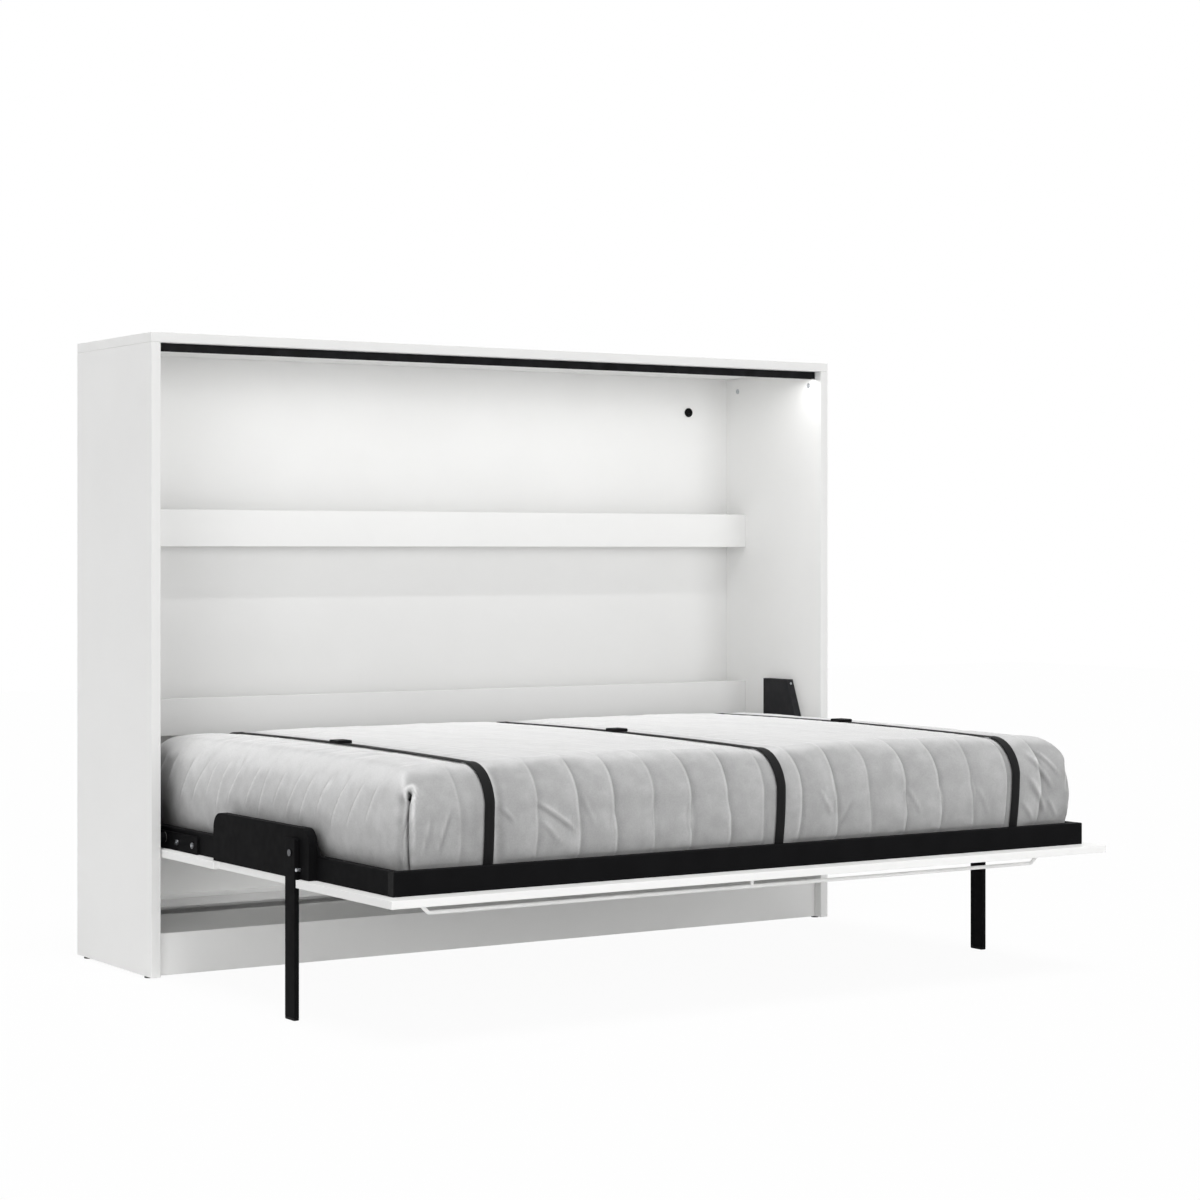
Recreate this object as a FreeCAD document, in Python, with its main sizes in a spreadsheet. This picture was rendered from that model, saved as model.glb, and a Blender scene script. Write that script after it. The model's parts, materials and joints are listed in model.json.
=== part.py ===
# Wall bed that folds down along its long side, out of a shallow cabinet with two picture shelves.
# X runs along the cabinet, +Y points to the wall behind it and +Z up, in millimetres.
# The origin is on the floor, under the middle of the room that cabinet and opened bed take up.
import FreeCAD
import Part
import Sketcher
import math
import os
import re

Vector = FreeCAD.Vector
doc = FreeCAD.newDocument("WallBed")

# Driving dimensions, each written once
SIZES = {
    # Cabinet boards
    "cabinet_width": 2115,
    "cabinet_height": 1606,
    "cabinet_depth": 480,
    "board": 25,
    "inner_board": 18,
    "back_board": 12,
    "back_inset": 1,
    # Plinth, floor board and glides
    "plinth_setback": 28,
    "plinth_height": 105,
    "floor_drop": 3,
    "glide_height": 5,
    "glide_diameter": 22,
    "glide_setback": 45,
    # Shelves with lips, and the stretcher board near the floor
    "shelf_depth": 97,
    "lip_height": 98,
    "upper_shelf_base": 1073,
    "lower_shelf_base": 573,
    "stretcher_base": 121,
    "stretcher_thickness": 22,
    # Lamp under the front of the top board
    "lamp_setback": 27,
    "lamp_height": 20,
    "lamp_depth": 18,
    "lamp_wall": 2,
    "lamp_end_gap": 1,
    "diffuser_thickness": 3,
    # Wall fixing bushes and cam locks
    "bush_inset": 143,
    "bush_drop": 128,
    "bush_flange": 27,
    "bush_flange_thickness": 4,
    "bush_sleeve": 14,
    "bush_bore": 8.5,
    "cam_diameter": 15,
    "cam_depth": 12.5,
    "cam_slot": 2.5,
    "cam_drop": 38,
    "cam_front": 60,
    "cam_rear": 412,
    # Bed pivot
    "pivot_depth": 46,
    "pivot_rise": 344,
    "pivot_pin": 14,
    "pivot_bush_wall": 2,
    "pivot_boss_wall": 4,
    "pivot_plate": 3,
    "plate_margin": 7,
    "thrust_washer": 1.6,
    "washer_gap": 0.2,
    "run_gap": 0.05,
    "seat_gap": 0.3,
    # Mechanism cover on each side board
    "cover_depth": 22.5,
    "cover_sheet": 1.5,
    "cover_top": 340,
    "cover_base": 40,
    "cover_rear": 204,
    "cover_front_top": 89,
    "cover_front_low": 6,
    "cover_knee": 130,
    "cover_screw_drop": 12,
    "screw_head": 7,
    "screw_head_height": 2.5,
    # Gas spring
    "spring_arm": 105,
    "spring_length": 256,
    "spring_tube": 15,
    "spring_tube_wall": 1.8,
    "spring_tube_length": 196,
    "spring_rod": 6,
    "spring_guide": 14,
    "piston_length": 12,
    "spring_eye": 16,
    "spring_eye_width": 10,
    "spring_stud": 8,
    "upper_stud_gap": 0.3,
    "spring_side_gap": 1.5,
    "piston_reserve": 2,
    # Bed face panel and the steel frame on it
    "panel_gap": 4,
    "panel_thickness": 18,
    "panel_tail": 230,
    "rail_inset": 33.5,
    "rail_height": 54,
    "rail_width": 25,
    "rail_wall": 1.5,
    "rail_corner": 3,
    "rail_cap": 2,
    "rail_plug": 15,
    "front_rail_setback": 53,
    "rear_rail_setback": 4,
    # Slats and the bearers under them
    "slat_count": 14,
    "slat_width": 70,
    "slat_thickness": 10,
    "slat_end_gap": 16,
    "bearer_width": 30,
    "bearer_setback": 22,
    # Hinge arm on the frame's end rail
    "arm_thickness": 6,
    "arm_forward": 191,
    "arm_rise": 16,
    "arm_end": 18,
    "arm_corner": 8,
    "arm_bolt_near": 76,
    "arm_bolt_far": 166,
    "arm_bolt_drop": 7,
    "arm_bolt_head": 13,
    "arm_bolt_height": 4,
    "arm_bolt_socket": 5,
    # Folding legs and the brackets that carry them
    "leg_forward": 749,
    "leg_rise": 31,
    "leg_width": 48,
    "leg_thickness": 12,
    "leg_top": 33,
    "leg_inset": 1,
    "leg_side_gap": 0.5,
    "leg_bevel": 4,
    "foot_height": 6,
    "leg_pin": 10,
    "leg_pin_head": 16,
    "leg_pin_head_height": 2.2,
    "stop_pin": 8,
    "stop_drop": 37,
    "slot_clearance": 2,
    "slot_front_gap": 8,
    "slot_rear_gap": 23,
    "bracket_rear": 315,
    "bracket_length": 504,
    "bracket_height": 117,
    "bracket_corner": 38,
    "bracket_sheet": 2.5,
    "flare_length": 52,
    "flare_sheet": 4,
    "flare_lip": 1.5,
    "flare_lean": 11,
    "flare_corner": 34,
    "flare_radius": 38,
    # Pull bar on the outside of the face panel
    "handle_end_inset": 152.5,
    "handle_setback": 112,
    "handle_reach": 29,
    "handle_flare": 30,
    "handle_bend": 14,
    "handle_bar": 9,
    # Mattress
    "mattress_height": 250,
    "mattress_fit": 7,
    "mattress_left_fit": 19,
    "mattress_right_fit": 3,
    "mattress_bulge": 12,
    "mattress_waist": 15,
    "shoulder_drop": 90,
    "shoulder_run": 110,
    "crown": 6,
    "channel_count": 18,
    "channel_depth": 4,
    "channel_lip": 14,
    "end_draw": 24,
    "end_dip": 95,
    "end_round": 52,
    # Webbing straps over the mattress
    "strap_left_inset": 251,
    "strap_middle": 55,
    "strap_right_inset": 208,
    "strap_width": 26,
    "strap_thickness": 1.6,
    "strap_tail": 18,
    "anchor_width": 32,
    "buckle_forward": 456,
    "buckle_length": 46,
    "buckle_width": 38,
    "buckle_height": 8,
    "buckle_window": 9,
}

# Places that follow from the driving dimensions
LAYOUT = {
    "half_width": "cabinet_width / 2",
    "inner_half": "half_width - board",
    "top_under": "glide_height + cabinet_height - board",
    "bed_reach": "cabinet_height - board - panel_gap - pivot_rise - pivot_depth",
    "front_y": "(bed_reach - cabinet_depth) / 2",
    "back_y": "front_y + cabinet_depth",
    "back_face": "back_y - back_inset - back_board",
    "shelf_front": "back_face - shelf_depth",
    "plinth_front": "front_y + plinth_setback",
    "plinth_top": "glide_height + plinth_height",
    "floor_top": "plinth_top - floor_drop",
    "lamp_front": "front_y + lamp_setback",
    "cam_z": "top_under - cam_drop",
    "bush_out": "inner_half - bush_inset",
    "bush_rise": "cabinet_height - bush_drop",
    "bush_z": "glide_height + bush_rise",
    "pivot_y": "front_y + pivot_depth",
    "pivot_z": "glide_height + pivot_rise",
    "plate_out": "inner_half - pivot_plate",
    "cover_out": "inner_half - cover_depth",
    "cover_slope": "(cover_front_top - cover_front_low) / (cover_top - cover_knee)",
    "panel_half": "inner_half - panel_gap",
    "panel_under": "pivot_z - pivot_depth",
    "panel_top": "panel_under + panel_thickness",
    "panel_front": "front_y - bed_reach",
    "panel_rear": "pivot_y + panel_tail",
    "rail_out": "panel_half - rail_inset",
    "rail_in": "rail_out - rail_width",
    "rail_front": "panel_front + front_rail_setback",
    "rail_rear": "panel_rear - rear_rail_setback",
    "rail_top": "panel_top + rail_height",
    "bay_front": "rail_front + rail_width",
    "bay_rear": "rail_rear - rail_width",
    "bay_middle": "(bay_front + bay_rear) / 2",
    "slat_top": "pivot_z",
    "bearer_top": "slat_top - slat_thickness",
    "arm_out": "rail_out + arm_thickness",
    "boss_end": "arm_out + thrust_washer + 2 * washer_gap",
    "bush_outside": "pivot_pin + 2 * run_gap + 2 * pivot_bush_wall",
    "spring_out": "plate_out - spring_side_gap - spring_tube / 2",
    "spring_reach": "sqrt(spring_arm * spring_arm + (spring_arm + spring_length) * (spring_arm + spring_length))",
    "spring_stroke": "spring_reach - spring_length",
    "spring_y": "pivot_y + spring_arm",
    "leg_out": "panel_half - leg_inset",
    "leg_in": "leg_out - leg_thickness",
    "bracket_out": "leg_in - leg_side_gap",
    "leg_y": "pivot_y - leg_forward",
    "leg_z": "pivot_z + leg_rise",
    "slot_front": "leg_y - leg_width / 2 - slot_front_gap",
    "slot_rear": "leg_y + leg_z + slot_rear_gap",
    "slot_in": "leg_in - slot_clearance",
    "handle_half": "panel_half - handle_end_inset",
    "handle_y": "panel_front + handle_setback",
    "handle_z": "panel_under - handle_reach",
    "mattress_base": "slat_top + seat_gap",
    "mattress_length": "2 * rail_in - mattress_left_fit - mattress_right_fit",
    "mattress_middle": "(mattress_left_fit - mattress_right_fit) / 2",
    "mattress_half": "(bay_rear - bay_front) / 2 - mattress_fit",
    "strap_left": "strap_left_inset - rail_out",
    "strap_right": "rail_out - strap_right_inset",
}

WORD = re.compile(r"[a-z][a-z_]*")
SIDES = {"left": -1, "right": 1}
nodes = []

sheet = doc.addObject("Spreadsheet::Sheet", "Sizes")
for row, (alias, size) in enumerate(SIZES.items(), start=1):
    sheet.set(f"A{row}", alias)
    sheet.set(f"B{row}", str(size))
    sheet.setAlias(f"B{row}", alias)
doc.recompute()


def expand(text):
    """Write an expression out so that it names cells of the sheet only."""
    def spell(match):
        word = match.group(0)
        if word in LAYOUT:
            return f"({expand(LAYOUT[word])})"
        return f"Sizes.{word}" if word in SIZES else word
    return WORD.sub(spell, str(text))


def number(text):
    """Value of an expression, in millimetres or as a count."""
    return float(sheet.evalExpression(expand(text)))


def bind(item, path, text):
    """Tie one property of a document object to the sheet."""
    item.setExpression(path, expand(text))


def place(item, x="0", y="0", z="0"):
    """Tie an object's position to the sheet."""
    for axis, text in (("x", x), ("y", y), ("z", z)):
        bind(item, f".Placement.Base.{axis}", text)
    return item


def node(item, label):
    """Keep an object as a finished sub-part under its own name."""
    item.Label = label
    nodes.append(item)
    return item


def block(name, x, y, z):
    """Straight board or bar between pairs of limits."""
    box = doc.addObject("Part::Box", name)
    for path, (low, high) in (("Length", x), ("Width", y), ("Height", z)):
        bind(box, path, f"({high}) - ({low})")
    return place(box, x[0], y[0], z[0])


def across(sign, near, far):
    """Limits along X of a piece between two distances from the middle, on one side."""
    return (near, far) if sign > 0 else (f"-({far})", f"-({near})")


def group(name, members):
    """Several like solids kept as one sub-part."""
    compound = doc.addObject("Part::Compound", name)
    compound.Links = members
    return compound


def new_body(name):
    """Empty body for sketched features."""
    return doc.addObject("PartDesign::Body", name)


def new_sketch(body, role, offset="0"):
    """Sketch on one of the body's own planes, moved along the plane's normal."""
    sketch = body.newObject("Sketcher::SketchObject", f"{body.Name}_sketch")
    plane = next(item for item in body.Origin.OriginFeatures if item.Role == role)
    sketch.AttachmentSupport = (plane, [""])
    sketch.MapMode = "FlatFace"
    bind(sketch, ".AttachmentOffset.Base.z", offset)
    return sketch


def fix_point(sketch, line, point, u, v):
    """Tie a sketch point to the sheet by its two distances from the origin."""
    for kind, text in (("DistanceX", u), ("DistanceY", v)):
        rule = Sketcher.Constraint(kind, -1, 1, line, point, number(text))
        bind(sketch, f"Constraints[{sketch.addConstraint(rule)}]", text)


def outline(sketch, corners):
    """Closed loop of straight lines through tied corners."""
    first = sketch.GeometryCount
    spots = [Vector(number(u), number(v), 0) for u, v in corners]
    for index, spot in enumerate(spots):
        sketch.addGeometry(Part.LineSegment(spot, spots[(index + 1) % len(spots)]), False)
    for index, (u, v) in enumerate(corners):
        following = first + (index + 1) % len(corners)
        sketch.addConstraint(Sketcher.Constraint("Coincident", first + index, 2, following, 1))
        fix_point(sketch, first + index, 1, u, v)
    return sketch


def rectangle(low_u, low_v, high_u, high_v):
    """Corners of an upright rectangle."""
    return [(low_u, low_v), (high_u, low_v), (high_u, high_v), (low_u, high_v)]


def circle(sketch, u, v, diameter):
    """Circle with a tied centre and diameter."""
    middle = Vector(number(u), number(v), 0)
    ring = Part.Circle(middle, Vector(0, 0, 1), number(diameter) / 2)
    index = sketch.addGeometry(ring, False)
    fix_point(sketch, index, 3, u, v)
    rule = sketch.addConstraint(Sketcher.Constraint("Diameter", index, number(diameter)))
    bind(sketch, f"Constraints[{rule}]", diameter)
    return sketch


def pad(body, sketch, length, reverse=False, both=False):
    """Grow a sketch into the body."""
    feature = body.newObject("PartDesign::Pad", f"{body.Name}_pad")
    feature.Profile = sketch
    bind(feature, "Length", length)
    feature.Reversed = reverse
    if both:
        feature.SideType = "Symmetric"
    return feature


def pocket(body, sketch, length, reverse=False, both=False):
    """Cut a sketch out of the body, and make sure that it removed something."""
    doc.recompute()
    before = body.Shape.Volume
    feature = body.newObject("PartDesign::Pocket", f"{body.Name}_pocket")
    feature.Profile = sketch
    bind(feature, "Length", length)
    feature.Reversed = reverse
    if both:
        feature.SideType = "Symmetric"
    doc.recompute()
    if body.Shape.Volume >= before:
        raise RuntimeError(f"{body.Name}: a pocket cut nothing")
    return feature


def revolve(body, corners):
    """Turn a profile of radius and height corners about the body's upright axis."""
    sketch = outline(new_sketch(body, "XZ_Plane"), corners)
    feature = body.newObject("PartDesign::Revolution", f"{body.Name}_turning")
    feature.Profile = sketch
    feature.ReferenceAxis = (sketch, ["V_Axis"])
    feature.Angle = 360
    return feature


def corner_edges(shape, spots, along):
    """Names of the straight edges along one axis that pass through given places across it."""
    names = []
    u, v = [axis for axis in range(3) if axis != along]
    for index, edge in enumerate(shape.Edges, start=1):
        ends = [vertex.Point for vertex in edge.Vertexes]
        if len(ends) != 2 or abs(ends[0][along] - ends[1][along]) < 1:
            continue
        level = max(abs(ends[0][u] - ends[1][u]), abs(ends[0][v] - ends[1][v]))
        near = any(math.hypot(ends[0][u] - a, ends[0][v] - b) < 0.01 for a, b in spots)
        if level < 0.01 and near:
            names.append(f"Edge{index}")
    return names


def round_corners(body, base, radius, corners, along=0):
    """Round the corners of a profile that was grown along X, or along another axis."""
    doc.recompute()
    spots = [(number(u), number(v)) for u, v in corners]
    fillet = body.newObject("PartDesign::Fillet", f"{body.Name}_rounding")
    fillet.Base = (base, corner_edges(base.Shape, spots, along))
    bind(fillet, "Radius", radius)
    return fillet


def turned(name, corners, sign, out, y, z):
    """Turned piece whose profile height runs from a distance out towards the cabinet's side."""
    body = new_body(name)
    revolve(body, corners)
    body.Placement.Rotation = FreeCAD.Rotation(Vector(0, 1, 0), 90 * sign)
    return place(body, f"{sign} * ({out})", y, z)


def make_side_panel(side, sign):
    """Side board with blind seats for the cam locks."""
    body = new_body(f"{side}_side_panel")
    high = "cabinet_height - board"
    pad(body, outline(new_sketch(body, "YZ_Plane"), rectangle("0", "0", "cabinet_depth", high)), "board",
        reverse=sign < 0)
    seats = new_sketch(body, "YZ_Plane")
    for along in ("cam_front", "cam_rear"):
        circle(seats, along, f"{high} - cam_drop", "cam_diameter + 2 * seat_gap")
    pocket(body, seats, "cam_depth + seat_gap", reverse=sign > 0)
    node(place(body, f"{sign} * inner_half", "front_y", "glide_height"), f"{side}_side_panel")


def make_carcass():
    """Boards of the cabinet."""
    inside = ("-inner_half", "inner_half")
    for side, sign in SIDES.items():
        make_side_panel(side, sign)
    top = block("top_panel", ("-half_width", "half_width"), ("front_y", "back_y"),
                ("top_under", "top_under + board"))
    node(top, "top_panel")
    plinth = block("plinth_board", inside, ("plinth_front", "plinth_front + inner_board"),
                   ("glide_height", "plinth_top"))
    node(plinth, "plinth_board")
    floor = block("floor_board", inside, ("plinth_front + inner_board", "back_face"),
                  ("floor_top - inner_board", "floor_top"))
    node(floor, "floor_board")
    back = new_body("back_panel")
    face = outline(new_sketch(back, "XZ_Plane"), rectangle("-inner_half", "0", "inner_half",
                                                           "cabinet_height - board"))
    for sign in SIDES.values():
        circle(face, f"{sign} * bush_out", "bush_rise", "bush_sleeve + 2 * seat_gap")
    pad(back, face, "back_board", reverse=True)
    node(place(back, y="back_face", z="glide_height"), "back_panel")
    for level in ("upper", "lower"):
        base = f"glide_height + {level}_shelf_base"
        lip = block(f"{level}_shelf_lip", inside, ("shelf_front", "shelf_front + inner_board"),
                    (base, f"{base} + lip_height"))
        node(lip, f"{level}_shelf_lip")
        shelf = block(f"{level}_shelf_board", inside, ("shelf_front + inner_board", "back_face"),
                      (base, f"{base} + inner_board"))
        node(shelf, f"{level}_shelf_board")
    stretcher = block("stretcher_board", inside, ("shelf_front", "back_face"),
                      ("glide_height + stretcher_base",
                       "glide_height + stretcher_base + stretcher_thickness"))
    node(stretcher, "stretcher_board")


def make_glides():
    """Round glides under the side boards."""
    spots = []
    for sign in SIDES.values():
        under_side = f"{sign} * (half_width - board / 2)"
        spots.append((under_side, "front_y + glide_setback"))
        spots.append((under_side, "back_y - glide_setback"))
    glides = []
    for index, (x, y) in enumerate(spots, start=1):
        glide = doc.addObject("Part::Cylinder", f"glide_{index}")
        bind(glide, "Radius", "glide_diameter / 2")
        bind(glide, "Height", "glide_height")
        glides.append(place(glide, x, y))
    node(group("cabinet_glides", glides), "cabinet_glides")


def make_lamp():
    """Channel under the top board, open downwards, with a diffuser strip in its mouth."""
    length = "2 * (inner_half - lamp_end_gap)"
    channel = new_body("lamp_channel")
    profile = [("0", "0"), ("lamp_wall", "0"), ("lamp_wall", "lamp_height - lamp_wall"),
               ("lamp_depth - lamp_wall", "lamp_height - lamp_wall"), ("lamp_depth - lamp_wall", "0"),
               ("lamp_depth", "0"), ("lamp_depth", "lamp_height"), ("0", "lamp_height")]
    pad(channel, outline(new_sketch(channel, "YZ_Plane"), profile), length, both=True)
    node(place(channel, y="lamp_front", z="top_under - lamp_height"), "lamp_channel")
    half = "inner_half - lamp_end_gap"
    strip = block("lamp_diffuser", (f"-({half})", half),
                  ("lamp_front + lamp_wall", "lamp_front + lamp_depth - lamp_wall"),
                  ("top_under - lamp_height + lamp_wall",
                   "top_under - lamp_height + lamp_wall + diffuser_thickness"))
    node(strip, "lamp_diffuser")


def make_wall_bushes():
    """Flanged bushes through the back panel, for the screws into the wall."""
    bore = "bush_bore / 2"
    profile = [(bore, "-bush_flange_thickness"), ("bush_flange / 2", "-bush_flange_thickness"),
               ("bush_flange / 2", "0"), ("bush_sleeve / 2", "0"), ("bush_sleeve / 2", "back_board"),
               (bore, "back_board")]
    bushes = []
    for side, sign in SIDES.items():
        bush = new_body(f"{side}_wall_bush")
        revolve(bush, profile)
        bush.Placement.Rotation = FreeCAD.Rotation(Vector(1, 0, 0), -90)
        bushes.append(place(bush, f"{sign} * bush_out", "back_face", "bush_z"))
    node(group("wall_fixing_bushes", bushes), "wall_fixing_bushes")


def make_cam_locks():
    """Slotted cams that draw the top board onto the side boards."""
    cams = []
    for side, sign in SIDES.items():
        for along in ("cam_front", "cam_rear"):
            cam = new_body(f"{side}_{along}")
            pad(cam, circle(new_sketch(cam, "YZ_Plane"), "0", "0", "cam_diameter"), "cam_depth",
                reverse=sign < 0)
            slot = rectangle("-cam_diameter / 3", "-cam_slot / 2", "cam_diameter / 3", "cam_slot / 2")
            pocket(cam, outline(new_sketch(cam, "YZ_Plane"), slot), "cam_slot", reverse=sign > 0)
            cams.append(place(cam, f"{sign} * inner_half", f"front_y + {along}", "cam_z"))
    node(group("cam_locks", cams), "cam_locks")


def make_pivot_plate(side, sign):
    """Steel plate on the side board, with the boss that carries the bed's pivot."""
    name = f"{side}_pivot_plate"
    body = new_body(name)
    boss = "bush_outside / 2 + pivot_boss_wall"
    inside = "(cover_sheet + seat_gap)"
    rim = f"{boss} + plate_margin"
    corners = [(f"-({rim})", f"-({rim})"), ("cover_rear / 3", f"-({rim})"),
               (f"cover_rear - {inside}", "cover_base"), (f"cover_rear - {inside}", f"cover_top - {inside}"),
               (f"cover_front_top + 2 * ({inside})", f"cover_top - {inside}"),
               (f"cover_front_low + 2 * ({inside})", "cover_knee"),
               (f"cover_front_low + 2 * ({inside})", "cover_base"), (f"-({rim})", rim)]
    pad(body, outline(new_sketch(body, "YZ_Plane"), corners), "pivot_plate", reverse=sign < 0)
    sleeve = circle(new_sketch(body, "YZ_Plane"), "0", "0", f"2 * ({boss})")
    pad(body, sleeve, "plate_out - boss_end", reverse=sign > 0)
    bore = circle(new_sketch(body, "YZ_Plane"), "0", "0", "bush_outside + 2 * run_gap")
    pocket(body, bore, "2 * (inner_half - boss_end)", both=True)
    node(place(body, f"{sign} * plate_out", "pivot_y", "pivot_z"), name)


def make_cover(side, sign):
    """Folded sheet cover over the gas spring, open towards the board and at its foot."""
    name = f"{side}_mechanism_cover"
    body = new_body(name)
    sheet_in = "cover_sheet"
    outer = [("cover_front_low", "cover_base"), ("cover_rear", "cover_base"), ("cover_rear", "cover_top"),
             ("cover_front_top", "cover_top"), ("cover_front_low", "cover_knee")]
    pad(body, outline(new_sketch(body, "YZ_Plane"), outer), "cover_depth", reverse=sign < 0)
    inner = [(f"cover_front_low + {sheet_in}", "cover_base - cover_sheet"),
             (f"cover_rear - {sheet_in}", "cover_base - cover_sheet"),
             (f"cover_rear - {sheet_in}", f"cover_top - {sheet_in}"),
             (f"cover_front_top + {sheet_in}", f"cover_top - {sheet_in}"),
             (f"cover_front_low + {sheet_in}", "cover_knee")]
    hollow = outline(new_sketch(body, "YZ_Plane", f"{sign} * cover_depth"), inner)
    pocket(body, hollow, "cover_depth - cover_sheet", reverse=sign < 0)
    node(place(body, f"{sign} * cover_out", "pivot_y", "pivot_z"), name)


def make_cover_screws():
    """Screw heads on the covers' slanted front faces."""
    screws = []
    for side, sign in SIDES.items():
        for name, drop in (("upper", "cover_screw_drop"), ("lower", "cover_top - cover_knee - cover_screw_drop")):
            screw = doc.addObject("Part::Cylinder", f"{side}_{name}_cover_screw")
            bind(screw, "Radius", "screw_head / 2")
            bind(screw, "Height", "screw_head_height")
            screw.Placement.Rotation = FreeCAD.Rotation(Vector(1, 0, 0), 90)
            bind(screw, ".Placement.Rotation.Angle", "90 deg - atan(cover_slope)")
            place(screw, f"{sign} * (cover_out + cover_depth / 2)",
                  f"pivot_y + cover_front_top - ({drop}) * cover_slope", f"pivot_z + cover_top - ({drop})")
            screws.append(screw)
    node(group("cover_screws", screws), "cover_screws")


def make_pivot(side, sign):
    """Plain bush in the boss, thrust washer, and the pin that turns with the bed."""
    tight = "pivot_pin / 2 + run_gap"
    length = "inner_half - boss_end"
    bush = [(tight, "0"), ("bush_outside / 2", "0"), ("bush_outside / 2", length), (tight, length)]
    node(turned(f"{side}_pivot_bush", bush, sign, "boss_end", "pivot_y", "pivot_z"), f"{side}_pivot_bush")
    rim = "bush_outside / 2 + pivot_boss_wall"
    washer = [(tight, "0"), (rim, "0"), (rim, "thrust_washer"), (tight, "thrust_washer")]
    node(turned(f"{side}_thrust_washer", washer, sign, "arm_out + washer_gap", "pivot_y", "pivot_z"),
         f"{side}_thrust_washer")
    reach = "inner_half - rail_out - washer_gap"
    pin = [("0", "0"), ("pivot_pin / 2", "0"), ("pivot_pin / 2", reach), ("0", reach)]
    node(turned(f"{side}_pivot_pin", pin, sign, "rail_out", "pivot_y", "pivot_z"), f"{side}_pivot_pin")


def make_hinge_arm(side, sign):
    """Plate on the end rail that carries the pivot pin and the gas spring's lower stud."""
    name = f"{side}_hinge_arm"
    body = new_body(name)
    drop = "pivot_z - panel_top"
    corners = rectangle("-arm_forward", f"-({drop})", "spring_arm + arm_end", "arm_rise")
    plate = pad(body, outline(new_sketch(body, "YZ_Plane"), corners), "arm_thickness", reverse=sign < 0)
    round_corners(body, plate, "arm_corner", [corners[1], corners[2], corners[3]])
    hole = circle(new_sketch(body, "YZ_Plane"), "0", "0", "pivot_pin + 2 * run_gap")
    pocket(body, hole, "arm_thickness", reverse=sign > 0)
    stud = circle(new_sketch(body, "YZ_Plane", f"{sign} * arm_thickness"), "spring_arm", "0", "spring_stud")
    pad(body, stud, "spring_out + spring_eye_width / 2 - arm_out", reverse=sign < 0)
    node(place(body, f"{sign} * rail_out", "pivot_y", "pivot_z"), name)


def make_arm_bolts():
    """Socket-head bolts that hold the hinge arms on the end rails."""
    head = "arm_bolt_head / 2"
    socket = "arm_bolt_socket / 2"
    profile = [("0", "0"), (head, "0"), (head, "arm_bolt_height"), (socket, "arm_bolt_height"),
               (socket, "arm_bolt_height / 2"), ("0", "arm_bolt_height / 2")]
    bolts = []
    for side, sign in SIDES.items():
        for along in ("arm_bolt_near", "arm_bolt_far"):
            bolts.append(turned(f"{side}_{along}", profile, sign, "arm_out", f"pivot_y - {along}",
                                "pivot_z - arm_bolt_drop"))
    node(group("hinge_arm_bolts", bolts), "hinge_arm_bolts")


def make_gas_spring(side, sign):
    """Rod with its lower eye on the hinge arm, and the tube that slides on it."""
    rod_name = f"{side}_spring_rod"
    rod = new_body(rod_name)
    shaft = "spring_rod / 2"
    bore = "spring_tube / 2 - spring_tube_wall - run_gap"
    tube_base = "spring_length - spring_eye / 2 - spring_tube_length"
    head = f"{tube_base} + spring_guide + spring_stroke + piston_reserve"
    revolve(rod, [("0", "spring_eye / 3"), (shaft, "spring_eye / 3"), (shaft, head), (bore, head),
                  (bore, f"{head} + piston_length"), ("0", f"{head} + piston_length")])
    pad(rod, circle(new_sketch(rod, "YZ_Plane"), "0", "0", "spring_eye"), "spring_eye_width", both=True)
    hole = circle(new_sketch(rod, "YZ_Plane"), "0", "0", "spring_stud + 2 * run_gap")
    pocket(rod, hole, "spring_eye_width", both=True)
    node(place(rod, f"{sign} * spring_out", "spring_y", "pivot_z"), rod_name)
    tube_name = f"{side}_spring_tube"
    tube = new_body(tube_name)
    wall = "spring_tube / 2 - spring_tube_wall"
    slide = "spring_rod / 2 + run_gap"
    foot = "-spring_eye / 2 - spring_tube_length"
    ceiling = "-spring_eye / 2 - spring_tube_wall"
    revolve(tube, [(slide, foot), ("spring_tube / 2", foot), ("spring_tube / 2", "-spring_eye / 3"),
                   ("0", "-spring_eye / 3"), ("0", ceiling), (wall, ceiling),
                   (wall, f"{foot} + spring_guide"), (slide, f"{foot} + spring_guide")])
    pad(tube, circle(new_sketch(tube, "YZ_Plane"), "0", "0", "spring_eye"), "spring_eye_width", both=True)
    eye = circle(new_sketch(tube, "YZ_Plane"), "0", "0", "spring_stud + 2 * run_gap")
    pocket(tube, eye, "spring_eye_width", both=True)
    node(place(tube, f"{sign} * spring_out", "spring_y", "pivot_z + spring_length"), tube_name)


def make_upper_studs():
    """Seats on the pivot plates beside the gas springs' upper eyes."""
    studs = []
    length = "plate_out - spring_out - spring_tube / 2 - upper_stud_gap"
    profile = [("0", "0"), ("spring_eye / 2", "0"), ("spring_eye / 2", length), ("0", length)]
    for side, sign in SIDES.items():
        studs.append(turned(f"{side}_upper_stud", profile, sign, f"plate_out - ({length})", "spring_y",
                            "pivot_z + spring_length"))
    node(group("spring_upper_studs", studs), "spring_upper_studs")


def make_face_panel():
    """Inset face panel with a slot in each end for the leg that folds through it."""
    body = new_body("bed_face_panel")
    corners = [("-panel_half", "panel_front"), ("panel_half", "panel_front"), ("panel_half", "slot_front"),
               ("slot_in", "slot_front"), ("slot_in", "slot_rear"), ("panel_half", "slot_rear"),
               ("panel_half", "panel_rear"), ("-panel_half", "panel_rear"), ("-panel_half", "slot_rear"),
               ("-(slot_in)", "slot_rear"), ("-(slot_in)", "slot_front"), ("-panel_half", "slot_front")]
    pad(body, outline(new_sketch(body, "XY_Plane"), corners), "panel_thickness")
    node(place(body, z="panel_under"), "bed_face_panel")


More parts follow.
